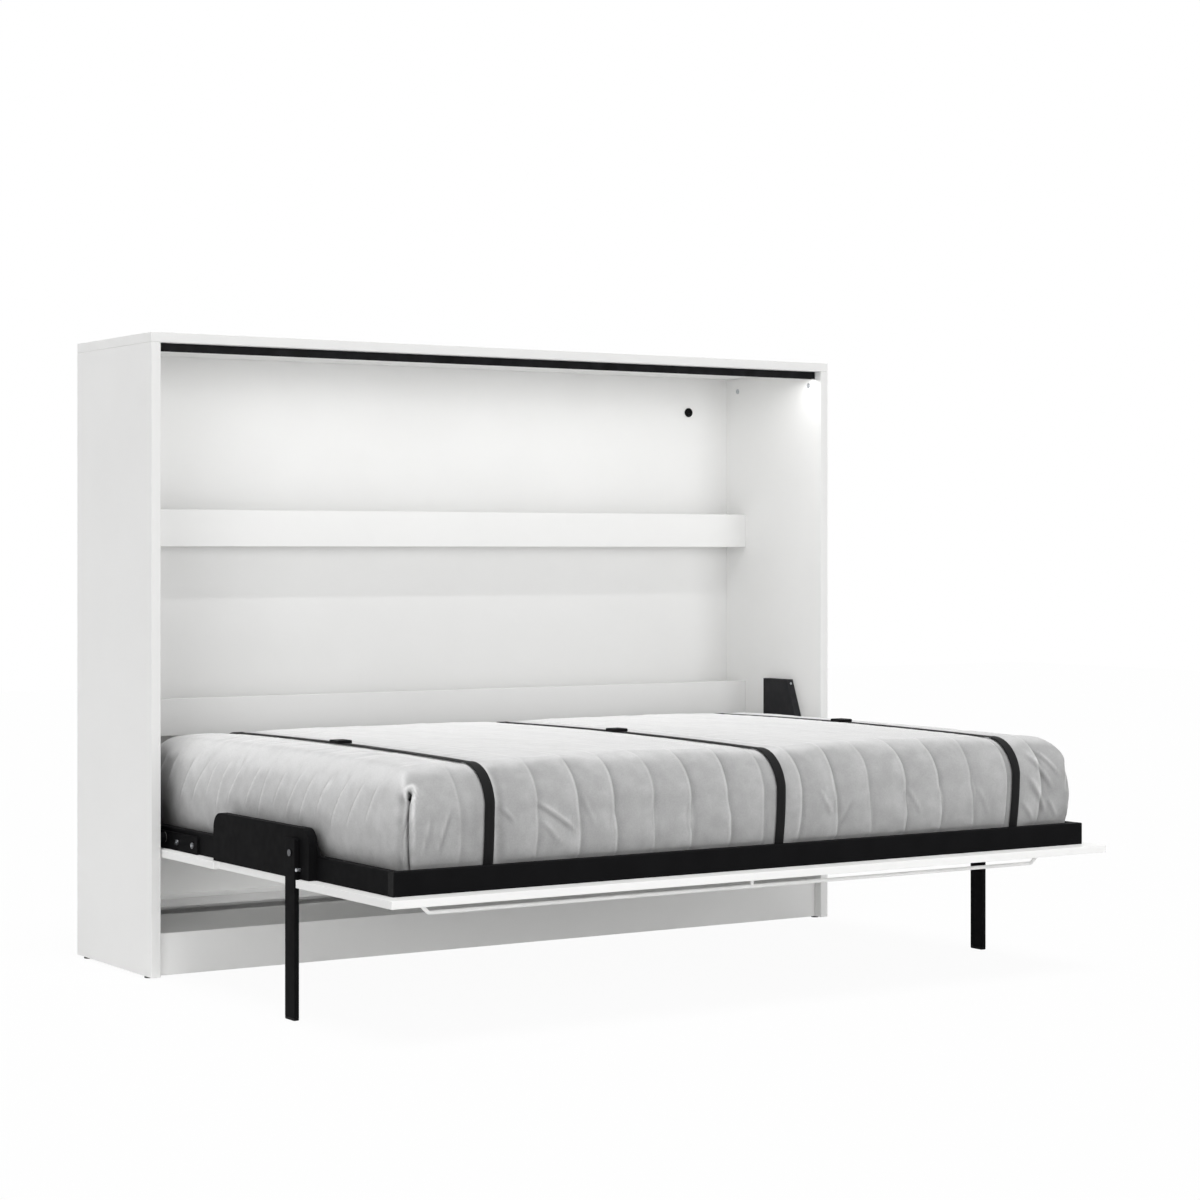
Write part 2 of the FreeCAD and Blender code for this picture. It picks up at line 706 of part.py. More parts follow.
def make_frame_rails():
    """Box-section rails of the bed frame, and the caps in the open ends of the long ones."""
    height = "rail_height"
    bar = rectangle("0", "0", "rail_width", height)
    hole = rectangle("rail_wall", "rail_wall", "rail_width - rail_wall", f"{height} - rail_wall")
    for label, y in (("front_rail", "rail_front"), ("rear_rail", "rail_rear - rail_width")):
        body = new_body(label)
        tube = outline(outline(new_sketch(body, "YZ_Plane"), bar), hole)
        rail = pad(body, tube, "2 * (rail_out - rail_cap)", both=True)
        round_corners(body, rail, "rail_corner", bar)
        node(place(body, y=y, z="panel_top"), label)
    for side, sign in SIDES.items():
        body = new_body(f"{side}_end_rail")
        tube = outline(outline(new_sketch(body, "XZ_Plane"), bar), hole)
        rail = pad(body, tube, "bay_rear - bay_front", reverse=True)
        round_corners(body, rail, "rail_corner", bar, along=1)
        node(place(body, across(sign, "rail_in", "rail_out")[0], "bay_front", "panel_top"), f"{side}_end_rail")
    caps = []
    plug = rectangle("rail_wall + seat_gap", "rail_wall + seat_gap", "rail_width - rail_wall - seat_gap",
                     f"{height} - rail_wall - seat_gap")
    for side, sign in SIDES.items():
        for end, y in (("front", "rail_front"), ("rear", "rail_rear - rail_width")):
            cap = new_body(f"{side}_{end}_cap")
            lid = pad(cap, outline(new_sketch(cap, "YZ_Plane"), bar), "rail_cap", reverse=sign < 0)
            round_corners(cap, lid, "rail_corner", bar)
            pad(cap, outline(new_sketch(cap, "YZ_Plane"), plug), "rail_plug", reverse=sign > 0)
            caps.append(place(cap, f"{sign} * (rail_out - rail_cap)", y, "panel_top"))
    node(group("rail_end_caps", caps), "rail_end_caps")


def make_slats():
    """Bearers along the frame and the slats across them."""
    bearers = []
    half = "rail_in - seat_gap"
    for name, y in (("front", "bay_front + bearer_setback"), ("middle", "bay_middle - bearer_width / 2"),
                    ("rear", "bay_rear - bearer_setback - bearer_width")):
        bearers.append(block(f"{name}_bearer", (f"-({half})", half), (y, f"{y} + bearer_width"),
                             ("panel_top", "bearer_top")))
    node(group("slat_bearers", bearers), "slat_bearers")
    slats = []
    count = int(number("slat_count"))
    for index in range(count):
        middle = f"(2 * {index} + 1 - slat_count) * rail_in / slat_count"
        slats.append(block(f"slat_{index + 1}", (f"{middle} - slat_width / 2", f"{middle} + slat_width / 2"),
                           ("bay_front + slat_end_gap", "bay_rear - slat_end_gap"), ("bearer_top", "slat_top")))
    node(group("bed_slats", slats), "bed_slats")


def make_leg(side, sign):
    """Flat bar that hangs from the bracket, with a plastic foot."""
    name = f"{side}_leg"
    body = new_body(name)
    half = "leg_width / 2"
    foot = "-(leg_z - foot_height)"
    corners = rectangle(f"-{half}", foot, half, "leg_top")
    bar = pad(body, outline(new_sketch(body, "YZ_Plane"), corners), "leg_thickness", reverse=sign < 0)
    round_corners(body, bar, "leg_bevel", [corners[2], corners[3]])
    hole = circle(new_sketch(body, "YZ_Plane"), "0", "0", "leg_pin + 2 * run_gap")
    pocket(body, hole, "leg_thickness", reverse=sign > 0)
    node(place(body, f"{sign} * leg_in", "leg_y", "leg_z"), name)
    shoe = new_body(f"{side}_leg_foot")
    tip = rectangle(f"-{half}", "0", half, "foot_height")
    sole = pad(shoe, outline(new_sketch(shoe, "YZ_Plane"), tip), "leg_thickness", reverse=sign < 0)
    round_corners(shoe, sole, "leg_bevel", [tip[0], tip[1]])
    node(place(shoe, f"{sign} * leg_in", "leg_y"), f"{side}_leg_foot")


def make_leg_bracket(side, sign):
    """Hollow bracket on the end rail, with a foot that sweeps down onto the rail in front."""
    name = f"{side}_leg_bracket"
    body = new_body(f"{side}_bracket_shell")
    depth = "bracket_out - rail_out"
    front = "-bracket_rear - bracket_length"
    corners = rectangle(front, "0", "-bracket_rear", "bracket_height")
    shell = pad(body, outline(new_sketch(body, "YZ_Plane"), corners), depth, reverse=sign < 0)
    round_corners(body, shell, "bracket_corner", [corners[2], corners[3]])
    inset = "bracket_sheet"
    slope = "bracket_corner / 2"
    room = [(f"{front} + {inset}", inset), (f"-bracket_rear - {inset}", inset),
            (f"-bracket_rear - {inset}", f"bracket_height - {slope} - {inset}"),
            (f"-bracket_rear - {inset} - {slope}", f"bracket_height - {inset}"),
            (f"{front} + {inset} + {slope}", f"bracket_height - {inset}"),
            (f"{front} + {inset}", f"bracket_height - {slope} - {inset}")]
    pocket(body, outline(new_sketch(body, "YZ_Plane"), room), f"{depth} - bracket_sheet", reverse=sign > 0)
    hole = circle(new_sketch(body, "YZ_Plane"), "-leg_forward", "leg_z - panel_top", "leg_pin + 2 * run_gap")
    pocket(body, hole, depth, reverse=sign > 0)
    lip = "rail_height + flare_lip"
    foot = [(f"{front} - flare_length", "rail_height"), (f"{front} + 2 * bracket_corner", "rail_height"),
            (f"{front} + 2 * bracket_corner", "bracket_height"), (f"{front} + flare_lean", "bracket_height"),
            (f"{front} - flare_lean / 2", lip), (f"{front} - flare_length", lip)]
    flare = new_body(f"{side}_bracket_flare")
    web = pad(flare, outline(new_sketch(flare, "YZ_Plane"), foot), "flare_sheet", reverse=sign > 0)
    shoulder = round_corners(flare, web, "flare_corner", [foot[3]])
    round_corners(flare, shoulder, "flare_radius", [foot[4]])
    for piece in (body, flare):
        place(piece, f"{sign} * rail_out", "pivot_y", "panel_top")
    joined = doc.addObject("Part::Fuse", name)
    joined.Base = body
    joined.Tool = flare
    joined.Refine = True
    node(joined, name)


def make_leg_pins():
    """Headed pins that the legs hang on, and the stops that hold the legs upright."""
    head = "leg_pin_head / 2"
    seat = "bracket_out - bracket_sheet - leg_pin_head_height"
    shaft = f"leg_out + seat_gap - ({seat})"
    pin = [("0", "0"), (head, "0"), (head, "leg_pin_head_height"), ("leg_pin / 2", "leg_pin_head_height"),
           ("leg_pin / 2", shaft), (head, shaft), (head, f"{shaft} + leg_pin_head_height"),
           ("0", f"{shaft} + leg_pin_head_height")]
    reach = "leg_thickness - leg_side_gap"
    stop = [("0", "0"), ("stop_pin / 2", "0"), ("stop_pin / 2", reach), ("0", reach)]
    pins = []
    stops = []
    for side, sign in SIDES.items():
        pins.append(turned(f"{side}_leg_pin", pin, sign, seat, "leg_y", "leg_z"))
        stops.append(turned(f"{side}_leg_stop", stop, sign, "bracket_out",
                            "leg_y - leg_width / 2 - seat_gap - stop_pin / 2", "leg_z - stop_drop"))
    node(group("leg_pivot_pins", pins), "leg_pivot_pins")
    node(group("leg_stop_pins", stops), "leg_stop_pins")


def bent_wire(points, radius):
    """Straight runs through points, joined by tangent arcs of one radius."""
    edges = []
    start = points[0]
    for before, corner, after in zip(points, points[1:], points[2:]):
        inward = (before - corner).normalize()
        onward = (after - corner).normalize()
        half = inward.getAngle(onward) / 2
        reach = radius / math.tan(half)
        centre = corner + (inward + onward).normalize() * (radius / math.sin(half))
        middle = centre + (corner - centre).normalize() * radius
        enter = corner + inward * reach
        leave = corner + onward * reach
        edges.append(Part.LineSegment(start, enter).toShape())
        edges.append(Part.Arc(enter, middle, leave).toShape())
        start = leave
    edges.append(Part.LineSegment(start, points[-1]).toShape())
    return Part.Wire(edges)


def make_handle():
    """Long pull bar with flared ends and a middle post, on the panel's outer face."""
    half = number("handle_half")
    flare = number("handle_flare")
    reach = number("handle_reach")
    radius = number("handle_bar / 2")
    run = Vector(flare, 0, reach).normalize() * (2 * radius)
    left = Vector(-half - flare, 0, reach) + Vector(-run.x, 0, run.z)
    right = Vector(half + flare, 0, reach) + run
    path = bent_wire([left, Vector(-half, 0, 0), Vector(half, 0, 0), right], number("handle_bend"))
    ring = Part.Wire(Part.Circle(left, Vector(run.x, 0, -run.z), radius).toShape())
    bar = path.makePipeShell([ring], True, False)
    post = Part.makeCylinder(radius, reach)
    room = Part.makeBox(4 * half, 4 * radius, reach + radius, Vector(-2 * half, -2 * radius, -radius))
    handle = doc.addObject("Part::Feature", "handle_bar")
    handle.Shape = bar.fuse(post).common(room).removeSplitter()
    node(place(handle, y="handle_y", z="handle_z"), "handle_bar")


def mattress_path(inset, dip):
    """Edges over the mattress from its front foot to its rear foot, drawn in and lowered."""
    half = number("mattress_half") - inset
    height = number("mattress_height") - dip
    bulge = number("mattress_bulge")
    waist = number("mattress_waist")
    drop = number("shoulder_drop")
    run = number("shoulder_run")
    crown = number("crown")
    turn = math.sin(math.pi / 4)
    swell = (half + bulge, (height - drop) * 0.6)
    shoulder = (half + waist, height - drop)
    bend = (half + waist - run * (1 - turn), height - drop + (drop - crown) * turn)
    edge = (half + waist - run, height - crown)
    outside = [(half, 0), swell, shoulder, bend, edge]
    front = [Vector(0, -y, z) for y, z in outside]
    rear = [Vector(0, y, z) for y, z in reversed(outside)]
    top = Vector(0, 0, height)
    return [Part.Arc(*front[:3]).toShape(), Part.Arc(*front[2:]).toShape(),
            Part.Arc(front[-1], top, rear[0]).toShape(),
            Part.Arc(*rear[:3]).toShape(), Part.Arc(*rear[2:]).toShape()]


def mattress_section(x, inset, dip):
    """Closed section of the mattress at a place along it."""
    edges = mattress_path(inset, dip)
    start = edges[0].Vertexes[0].Point
    end = edges[-1].Vertexes[-1].Point
    wire = Part.Wire(edges + [Part.LineSegment(end, start).toShape()])
    wire.translate(Vector(x, 0, 0))
    return wire


def make_mattress():
    """Mattress with a crown, drawn-in sides and ends, and sewn channels that run across it."""
    length = number("mattress_length")
    count = int(number("channel_count"))
    pitch = length / count
    lip = number("channel_lip")
    deep = number("channel_depth")
    draw = number("end_draw")
    low = number("end_dip")
    reach = number("end_round")
    stations = [(0, draw, low), (reach * 0.13, draw * 0.5, low * 0.65), (reach * 0.45, draw * 0.2, low * 0.34),
                (reach, draw * 0.06, low * 0.1)]
    ends = len(stations)
    for index in range(1, count):
        seam = index * pitch
        stations.extend([(seam - lip, deep * 0.2, deep * 0.2), (seam, deep, deep),
                         (seam + lip, deep * 0.2, deep * 0.2)])
        if index < count - 1:
            stations.append((seam + pitch / 2, 0, 0))
    stations.extend((length - x, inset, dip) for x, inset, dip in reversed(stations[:ends]))
    sections = [mattress_section(x - length / 2, inset, dip) for x, inset, dip in stations]
    mattress = doc.addObject("Part::Feature", "mattress")
    mattress.Shape = Part.makeLoft(sections, True, True)
    node(place(mattress, "mattress_middle", "bay_middle", "mattress_base"), "mattress")


def strap_band(gap, thickness, tail):
    """Flat face of a strap seen from its edge: over the mattress and down inside the rails."""
    inner = mattress_path(-gap, -gap)
    outer = mattress_path(-gap - thickness, -gap - thickness)
    def feet(edges):
        return edges[0].Vertexes[0].Point, edges[-1].Vertexes[-1].Point
    down = Vector(0, 0, -tail)
    inner_front, inner_rear = feet(inner)
    outer_front, outer_rear = feet(outer)
    corners = [inner_rear, inner_rear + down, outer_rear + down, outer_rear]
    ends = [Part.LineSegment(a, b).toShape() for a, b in zip(corners, corners[1:])]
    corners = [outer_front, outer_front + down, inner_front + down, inner_front]
    ends.extend(Part.LineSegment(a, b).toShape() for a, b in zip(corners, corners[1:]))
    return Part.Face(Part.Wire(Part.__sortEdges__(inner + outer + ends)))


def make_straps():
    """Three webbing straps over the mattress, and the plates that hold their ends to the rails."""
    width = number("strap_width")
    gap = number("seat_gap")
    thickness = number("strap_thickness")
    tail = number("strap_tail")
    band = strap_band(gap, thickness, tail)
    anchors = []
    foot = "mattress_fit - seat_gap - strap_thickness"
    for which in ("left", "middle", "right"):
        middle = f"strap_{which}"
        strap = doc.addObject("Part::Feature", f"{which}_strap")
        strap.Shape = band.extrude(Vector(width, 0, 0))
        node(place(strap, f"{middle} - strap_width / 2", "bay_middle", "mattress_base"), f"{which}_strap")
        wide = (f"{middle} - anchor_width / 2", f"{middle} + anchor_width / 2")
        high = ("mattress_base - strap_tail", "mattress_base")
        for end, y in (("front", ("bay_front", f"bay_front + {foot}")),
                       ("rear", (f"bay_rear - ({foot})", "bay_rear"))):
            anchors.append(block(f"{which}_{end}_anchor", wide, y, high))
    node(group("strap_anchors", anchors), "strap_anchors")


def make_buckles():
    """Ladder buckles on the straps, tilted with the mattress top."""
    height = number("mattress_height") + number("seat_gap") + number("strap_thickness") + number("seat_gap")
    reach = number("mattress_half") + number("mattress_waist") - number("shoulder_run")
    crown = number("crown")
    radius = (reach * reach + crown * crown) / (2 * crown)
    off_middle = number("pivot_y - buckle_forward - bay_middle")
    tilt = math.asin(off_middle / radius)
    drop = radius * (1 - math.cos(tilt))
    long = number("buckle_length")
    wide = number("buckle_width")
    high = number("buckle_height")
    window = number("buckle_window")
    frame = Part.makeBox(wide, long, high, Vector(-wide / 2, -long / 2, 0))
    frame = frame.makeFillet(high / 3, [e for e in frame.Edges if e.BoundBox.ZMin > high - 0.01])
    slot = Part.makeBox(number("strap_width"), window, high * 2, Vector(-number("strap_width") / 2, -window / 2, -1))
    for along in (-long / 4, long / 4):
        cut = slot.copy()
        cut.translate(Vector(0, along, high / 2))
        frame = frame.cut(cut)
    buckles = []
    for which in ("left", "middle", "right"):
        buckle = doc.addObject("Part::Feature", f"{which}_buckle")
        buckle.Shape = frame
        buckle.Placement.Rotation = FreeCAD.Rotation(Vector(1, 0, 0), -math.degrees(tilt))
        place(buckle, f"strap_{which}", "pivot_y - buckle_forward", f"mattress_base + {height - drop}")
        buckles.append(buckle)
    node(group("strap_buckles", buckles), "strap_buckles")


def make_sides():
    """Mechanism and leg pieces of both ends."""
    for side, sign in SIDES.items():
        make_pivot_plate(side, sign)
        make_cover(side, sign)
        make_pivot(side, sign)
        make_hinge_arm(side, sign)
        make_gas_spring(side, sign)
        make_leg(side, sign)
        make_leg_bracket(side, sign)


def check_and_write():
    """Stop at any failed object or bad shape, then write one file for each sub-part."""
    doc.recompute()
    for item in doc.Objects:
        if {"Invalid", "Error"} & set(item.State):
            raise RuntimeError(f"{item.Name}: {item.State}")
    for item in nodes:
        if item.Shape.isNull() or not item.Shape.isValid() or not item.Shape.Solids:
            raise RuntimeError(f"{item.Label}: bad shape")
    os.makedirs("parts", exist_ok=True)
    for item in nodes:
        item.Shape.exportStep(f"parts/{item.Label}.step")
    print(len(nodes), "sub-parts written")


make_carcass()
make_glides()
make_lamp()
make_wall_bushes()
make_cam_locks()
make_face_panel()
make_frame_rails()
make_slats()
make_sides()
make_cover_screws()
make_upper_studs()
make_arm_bolts()
make_leg_pins()
make_handle()
make_mattress()
make_straps()
make_buckles()
check_and_write()
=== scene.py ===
"""Looks of a side-folding wall bed: finishes, mattress, straps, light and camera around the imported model."""

import json
import logging
import math
from collections.abc import Callable, Iterator
from dataclasses import dataclass, field
from enum import Enum
from functools import partial
from typing import Any, ClassVar

import bmesh
import bpy
import numpy as np
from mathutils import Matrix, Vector

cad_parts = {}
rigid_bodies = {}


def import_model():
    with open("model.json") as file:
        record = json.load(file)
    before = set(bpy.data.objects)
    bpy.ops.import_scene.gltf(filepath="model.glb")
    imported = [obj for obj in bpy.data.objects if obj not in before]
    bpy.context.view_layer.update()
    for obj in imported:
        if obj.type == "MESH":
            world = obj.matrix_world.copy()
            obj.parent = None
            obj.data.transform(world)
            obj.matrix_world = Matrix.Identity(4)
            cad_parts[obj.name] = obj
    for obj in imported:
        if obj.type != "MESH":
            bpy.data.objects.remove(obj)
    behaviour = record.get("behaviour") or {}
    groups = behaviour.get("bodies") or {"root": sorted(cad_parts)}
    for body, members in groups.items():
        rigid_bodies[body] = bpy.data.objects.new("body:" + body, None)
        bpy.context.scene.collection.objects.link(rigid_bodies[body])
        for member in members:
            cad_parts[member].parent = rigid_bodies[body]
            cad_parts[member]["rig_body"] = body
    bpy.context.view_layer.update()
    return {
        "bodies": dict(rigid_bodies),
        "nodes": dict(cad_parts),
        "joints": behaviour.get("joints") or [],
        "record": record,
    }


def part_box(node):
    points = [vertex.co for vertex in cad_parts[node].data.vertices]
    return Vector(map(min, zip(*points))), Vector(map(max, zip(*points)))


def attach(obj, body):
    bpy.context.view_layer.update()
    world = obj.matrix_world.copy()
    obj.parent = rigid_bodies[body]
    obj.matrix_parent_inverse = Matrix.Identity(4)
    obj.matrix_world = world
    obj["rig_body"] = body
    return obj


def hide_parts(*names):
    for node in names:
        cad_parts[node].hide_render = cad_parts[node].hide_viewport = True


Array = np.ndarray
Mesh = bpy.types.Mesh
Piece = bpy.types.Object
Tree = bpy.types.NodeTree
Socket = bpy.types.NodeSocket
Work = bmesh.types.BMesh
Inputs = dict[Any, Any]
Cell = tuple[int, int, int]
Pair = tuple[float, float]
Triple = tuple[float, float, float]

log = logging.getLogger("wall_bed")

MM = 0.001
SIDES = ("left", "right")
STRAPS = ("left", "middle", "right")
ORIGIN = (0.0, 0.0, 0.0)
WHITE = (1.0, 1.0, 1.0, 1.0)
# Noise values at which a soft patch begins and is full
PATCH = (0.32, 0.68)
# Length that is taken as nothing
TINY = 1e-12


def linear(code: str) -> tuple[float, float, float, float]:
    """Turn an sRGB hex colour into linear light.

    Args:
        code: Six hex digits after a hash mark.

    Returns:
        Red, green, blue and an alpha of one.
    """
    shares = [int(code[at:at + 2], 16) / 255 for at in (1, 3, 5)]
    light = [s / 12.92 if s <= 0.04045 else ((s + 0.055) / 1.055) ** 2.4 for s in shares]
    return (light[0], light[1], light[2], 1.0)


def per_metre(size_mm: float) -> float:
    """Give the texture scale at which one pattern step has this size in millimetres."""
    return 1000.0 / size_mm


def feed(tree: Tree, node: bpy.types.Node, inputs: Inputs) -> None:
    """Set or link the inputs of a node.

    Args:
        tree: Node tree that holds the node.
        node: Node that is fed.
        inputs: Values or output sockets, by the input's name or number.
    """
    for name, value in inputs.items():
        if isinstance(value, Socket):
            tree.links.new(value, node.inputs[name])
        else:
            node.inputs[name].default_value = value


def add(tree: Tree, kind: str, inputs: Inputs | None = None, **settings: Any) -> bpy.types.Node:
    """Add a node with its settings, and set or link its inputs.

    Args:
        tree: Node tree that takes the node.
        kind: Shader node type, without the words that all of them start with.
        inputs: Values or output sockets, by the input's name or number.
        **settings: Properties of the node itself.

    Returns:
        The new node.
    """
    node = tree.nodes.new(f"ShaderNode{kind}")
    for name, value in settings.items():
        setattr(node, name, value)
    feed(tree, node, inputs or {})
    return node


def bare_tree(owner: bpy.types.Material | bpy.types.World) -> Tree:
    """Give the emptied node tree of a material or a world.

    Args:
        owner: Material or world.

    Returns:
        Its node tree, with no node in it.
    """
    owner.use_nodes = True
    owner.node_tree.nodes.clear()
    return owner.node_tree


def stand(name: str, data: bpy.types.ID, place: Triple = ORIGIN, turn: Any = ORIGIN) -> Piece:
    """Put an object into the scene.

    Args:
        name: Name of the object.
        data: Its mesh, lamp or camera.
        place: Where it stands, in metres.
        turn: How it is turned, in radians.

    Returns:
        The object.
    """
    thing = bpy.data.objects.new(name, data)
    thing.location = place
    thing.rotation_euler = turn
    bpy.context.scene.collection.objects.link(thing)
    return thing


def smooth_step(low: float, high: float, value: Array) -> Array:
    """Rise smoothly from zero at low to one at high."""
    share = np.clip((value - low) / (high - low), 0.0, 1.0)
    return share * share * (3.0 - 2.0 * share)


def bell(value: Array, width: float | Array) -> Array:
    """Give a smooth hump: one at zero, and about a third at the width."""
    return np.exp(-((value / width) ** 2))


def read(mesh: Mesh, name: str) -> Array:
    """Read three numbers for each point of a mesh.

    Args:
        mesh: Mesh that is read.
        name: What is read, such as the place or the normal.

    Returns:
        A row of three for each point.
    """
    numbers = np.empty(len(mesh.vertices) * 3)
    mesh.vertices.foreach_get(name, numbers)
    return numbers.reshape(-1, 3)


def settle(piece: Piece) -> None:
    """Make what a piece's modifiers give its own mesh, and take the modifiers off.

    Args:
        piece: Piece that keeps its mesh's name.
    """
    shaped = piece.evaluated_get(bpy.context.evaluated_depsgraph_get())
    mesh = bpy.data.meshes.new_from_object(shaped)
    piece.modifiers.clear()
    former = piece.data
    name = former.name
    piece.data = mesh
    bpy.data.meshes.remove(former)
    mesh.name = name


def weigh_normals(mesh: Mesh, limit: float = 50.0) -> None:
    """Let large faces rule the shading at their corners, so that flat faces stay flat up to a rounded edge.

    Args:
        mesh: Mesh that gets the normals.
        limit: Angle in degrees above which two faces aren't blended.
    """
    mesh.shade_smooth()
    corner = np.array([loop.vertex_index for loop in mesh.loops])
    owner = np.repeat(np.arange(len(mesh.polygons)), [face.loop_total for face in mesh.polygons])
    facing = np.array([face.normal[:] for face in mesh.polygons])
    area = np.array([face.area for face in mesh.polygons])
    blended = np.zeros((len(corner), 3))
    order = np.argsort(corner, kind="stable")
    starts = np.flatnonzero(np.diff(corner[order])) + 1
    for group in np.split(order, starts):
        around = facing[owner[group]]
        near = (around @ around.T) > math.cos(math.radians(limit))
        blended[group] = (near * area[owner[group]]) @ around
    size = np.linalg.norm(blended, axis=1, keepdims=True)
    blended = np.where(size > TINY, blended / np.maximum(size, TINY), facing[owner])
    mesh.normals_split_custom_set([tuple(line) for line in blended])


def loft(work: Work, hoops: list[list[bmesh.types.BMVert]]) -> list[bmesh.types.BMFace]:
    """Skin a row of closed hoops and cap its ends.

    Args:
        work: Mesh that takes the faces.
        hoops: Points of each hoop, equally many in all.

    Returns:
        The faces of the skin, hoop by hoop.
    """
    count = len(hoops[0])
    skin = [work.faces.new([near[at], near[(at + 1) % count], far[(at + 1) % count], far[at]])
            for near, far in zip(hoops, hoops[1:]) for at in range(count)]
    caps = [work.faces.new(hoops[0][::-1]), work.faces.new(hoops[-1])]
    bmesh.ops.recalc_face_normals(work, faces=skin + caps)
    return skin


def mottle(tree: Tree, place: Socket, size_mm: float, low: Any, high: Any, detail: float = 3.0) -> Socket:
    """Vary a colour or a number in soft patches.

    Args:
        tree: Node tree that takes the nodes.
        place: Position that the pattern follows.
        size_mm: Size of one patch.
        low: Colour or number in one kind of patch.
        high: Colour or number in the other.
        detail: Finer steps within a patch.

    Returns:
        The varied value.
    """
    noise = add(tree, "TexNoise", {"Vector": place, "Scale": per_metre(size_mm), "Detail": detail})
    edges = {"Value": noise.outputs["Fac"], "From Min": PATCH[0], "From Max": PATCH[1]}
    if isinstance(low, tuple):
        share = add(tree, "MapRange", edges).outputs["Result"]
        return add(tree, "Mix", {0: share, 6: low, 7: high}, data_type="RGBA").outputs[2]
    return add(tree, "MapRange", edges | {"To Min": low, "To Max": high}).outputs["Result"]


class Grain(Enum):
    """Way that the grain of a wooden piece runs, as its stretch along each axis."""

    ALONG_X = (6.0, 1.0, 1.0)
    ALONG_Y = (1.0, 6.0, 1.0)


@dataclass(frozen=True)
class Finish:
    """A surface finish, named for what it is and how it was made, with a relief of its own."""

    name: str
    colour: str
    roughness: float
    relief: ClassVar[float]
    relief_mm: ClassVar[float]

    def make(self) -> bpy.types.Material:
        """Build the material.

        Returns:
            The material, with the shader's plain values set and its patterns linked.
        """
        material = bpy.data.materials.new(self.name)
        tree = bare_tree(material)
        shader = add(tree, "BsdfPrincipled", {"Base Color": linear(self.colour), "Roughness": self.roughness})
        add(tree, "OutputMaterial", {"Surface": shader.outputs["BSDF"]})
        height, inputs = self.dress(tree, add(tree, "TexCoord").outputs["Object"])
        bump = add(tree, "Bump", {"Height": height, "Strength": self.relief, "Distance": self.relief_mm * MM})
        feed(tree, shader, inputs | {"Normal": bump.outputs["Normal"]})
        return material

    def dress(self, tree: Tree, place: Socket) -> tuple[Socket, Inputs]:
        """Make the finish's own patterns.

        Args:
            tree: The material's node tree.
            place: Position on the object, in metres.

        Returns:
            Height of the relief, and what goes into the shader.
        """
        raise NotImplementedError


@dataclass(frozen=True)
class PatchyFinish(Finish):
    """A grained finish that drifts into a second shade and has an uneven gloss, both in soft patches."""

    shade: str = "#808080"
    gloss: float = 0.5
    metal: ClassVar[float] = 0.0
    tint_mm: ClassVar[float]
    dull_mm: ClassVar[float]
    swing: ClassVar[Pair]
    grain_mm: ClassVar[float]
    grain_detail: ClassVar[float]
    grain_roughness: ClassVar[float] = 0.5

    def dress(self, tree: Tree, place: Socket) -> tuple[Socket, Inputs]:
        """Make the drifting colour, the uneven gloss and the grain.

        Args:
            tree: The material's node tree.
            place: Position on the object, in metres.

        Returns:
            Height of the grain, and what goes into the shader.
        """
        low, high = (self.roughness + change for change in self.swing)
        return self.grain(tree, place), {
            "Base Color": mottle(tree, place, self.tint_mm, linear(self.colour), linear(self.shade)),
            "Roughness": mottle(tree, place, self.dull_mm, low, high),
            "Specular IOR Level": self.gloss,
            "Metallic": self.metal}

    def grain(self, tree: Tree, place: Socket) -> Socket:
        """Make the height of the grain."""
        return add(tree, "TexNoise", {"Vector": place, "Scale": per_metre(self.grain_mm),
                                      "Detail": self.grain_detail,
                                      "Roughness": self.grain_roughness}).outputs["Fac"]


@dataclass(frozen=True)
class PressedMelamine(PatchyFinish):
    """Melamine-faced chipboard: paper soaked in resin and pressed against a lightly pearled steel plate.

    To the eye it is an even white with a soft gloss, broken by the fine pearl of the plate. Faces that the
    mesh marks, the front-facing faces of some boards, are drawn a little greyer.
    """

    shade: str = "#F1F1F0"
    # Greyer white for the front-facing faces that the mesh marks
    greyer_front: str = "#E6E6E5"
    tint_mm: ClassVar[float] = 240.0
    dull_mm: ClassVar[float] = 80.0
    swing: ClassVar[Pair] = (-0.03, 0.03)
    # The real pearl is under a millimetre across and is drawn coarser so that it shows
    grain_mm: ClassVar[float] = 3.2
    grain_detail: ClassVar[float] = 2.0
    relief: ClassVar[float] = 0.10
    relief_mm: ClassVar[float] = 0.4

    def dress(self, tree: Tree, place: Socket) -> tuple[Socket, Inputs]:
        """Make cloudy white, the greyer front faces, uneven gloss and the pearl of the press plate.

        Args:
            tree: The material's node tree.
            place: Position on the object, in metres.

        Returns:
            Height of the pearl, and what goes into the shader.
        """
        pearl, inputs = super().dress(tree, place)
        greyer_front = add(tree, "Attribute", attribute_name="greyer_front").outputs["Fac"]
        white = add(tree, "Mix", {0: greyer_front, 6: inputs["Base Color"], 7: linear(self.greyer_front)}, data_type="RGBA")
        return pearl, inputs | {"Base Color": white.outputs[2]}


@dataclass(frozen=True)
class PowderCoat(PatchyFinish):
    """Powder paint baked onto steel.

    To the eye it is an even satin skin with a faint orange peel and a slightly paler film where it pools.
    """

    shade: str = "#161617"
    gloss: float = 0.012
    tint_mm: ClassVar[float] = 70.0
    dull_mm: ClassVar[float] = 22.0
    swing: ClassVar[Pair] = (-0.06, 0.08)
    # Orange peel is one or two millimetres across and is drawn coarser so that it shows
    grain_mm: ClassVar[float] = 4.0
    relief: ClassVar[float] = 0.10
    relief_mm: ClassVar[float] = 0.4

    def grain(self, tree: Tree, place: Socket) -> Socket:
        """Make the height of an orange peel of rounded cells."""
        return add(tree, "TexVoronoi", {"Vector": place, "Scale": per_metre(self.grain_mm)},
                   feature="SMOOTH_F1").outputs["Distance"]


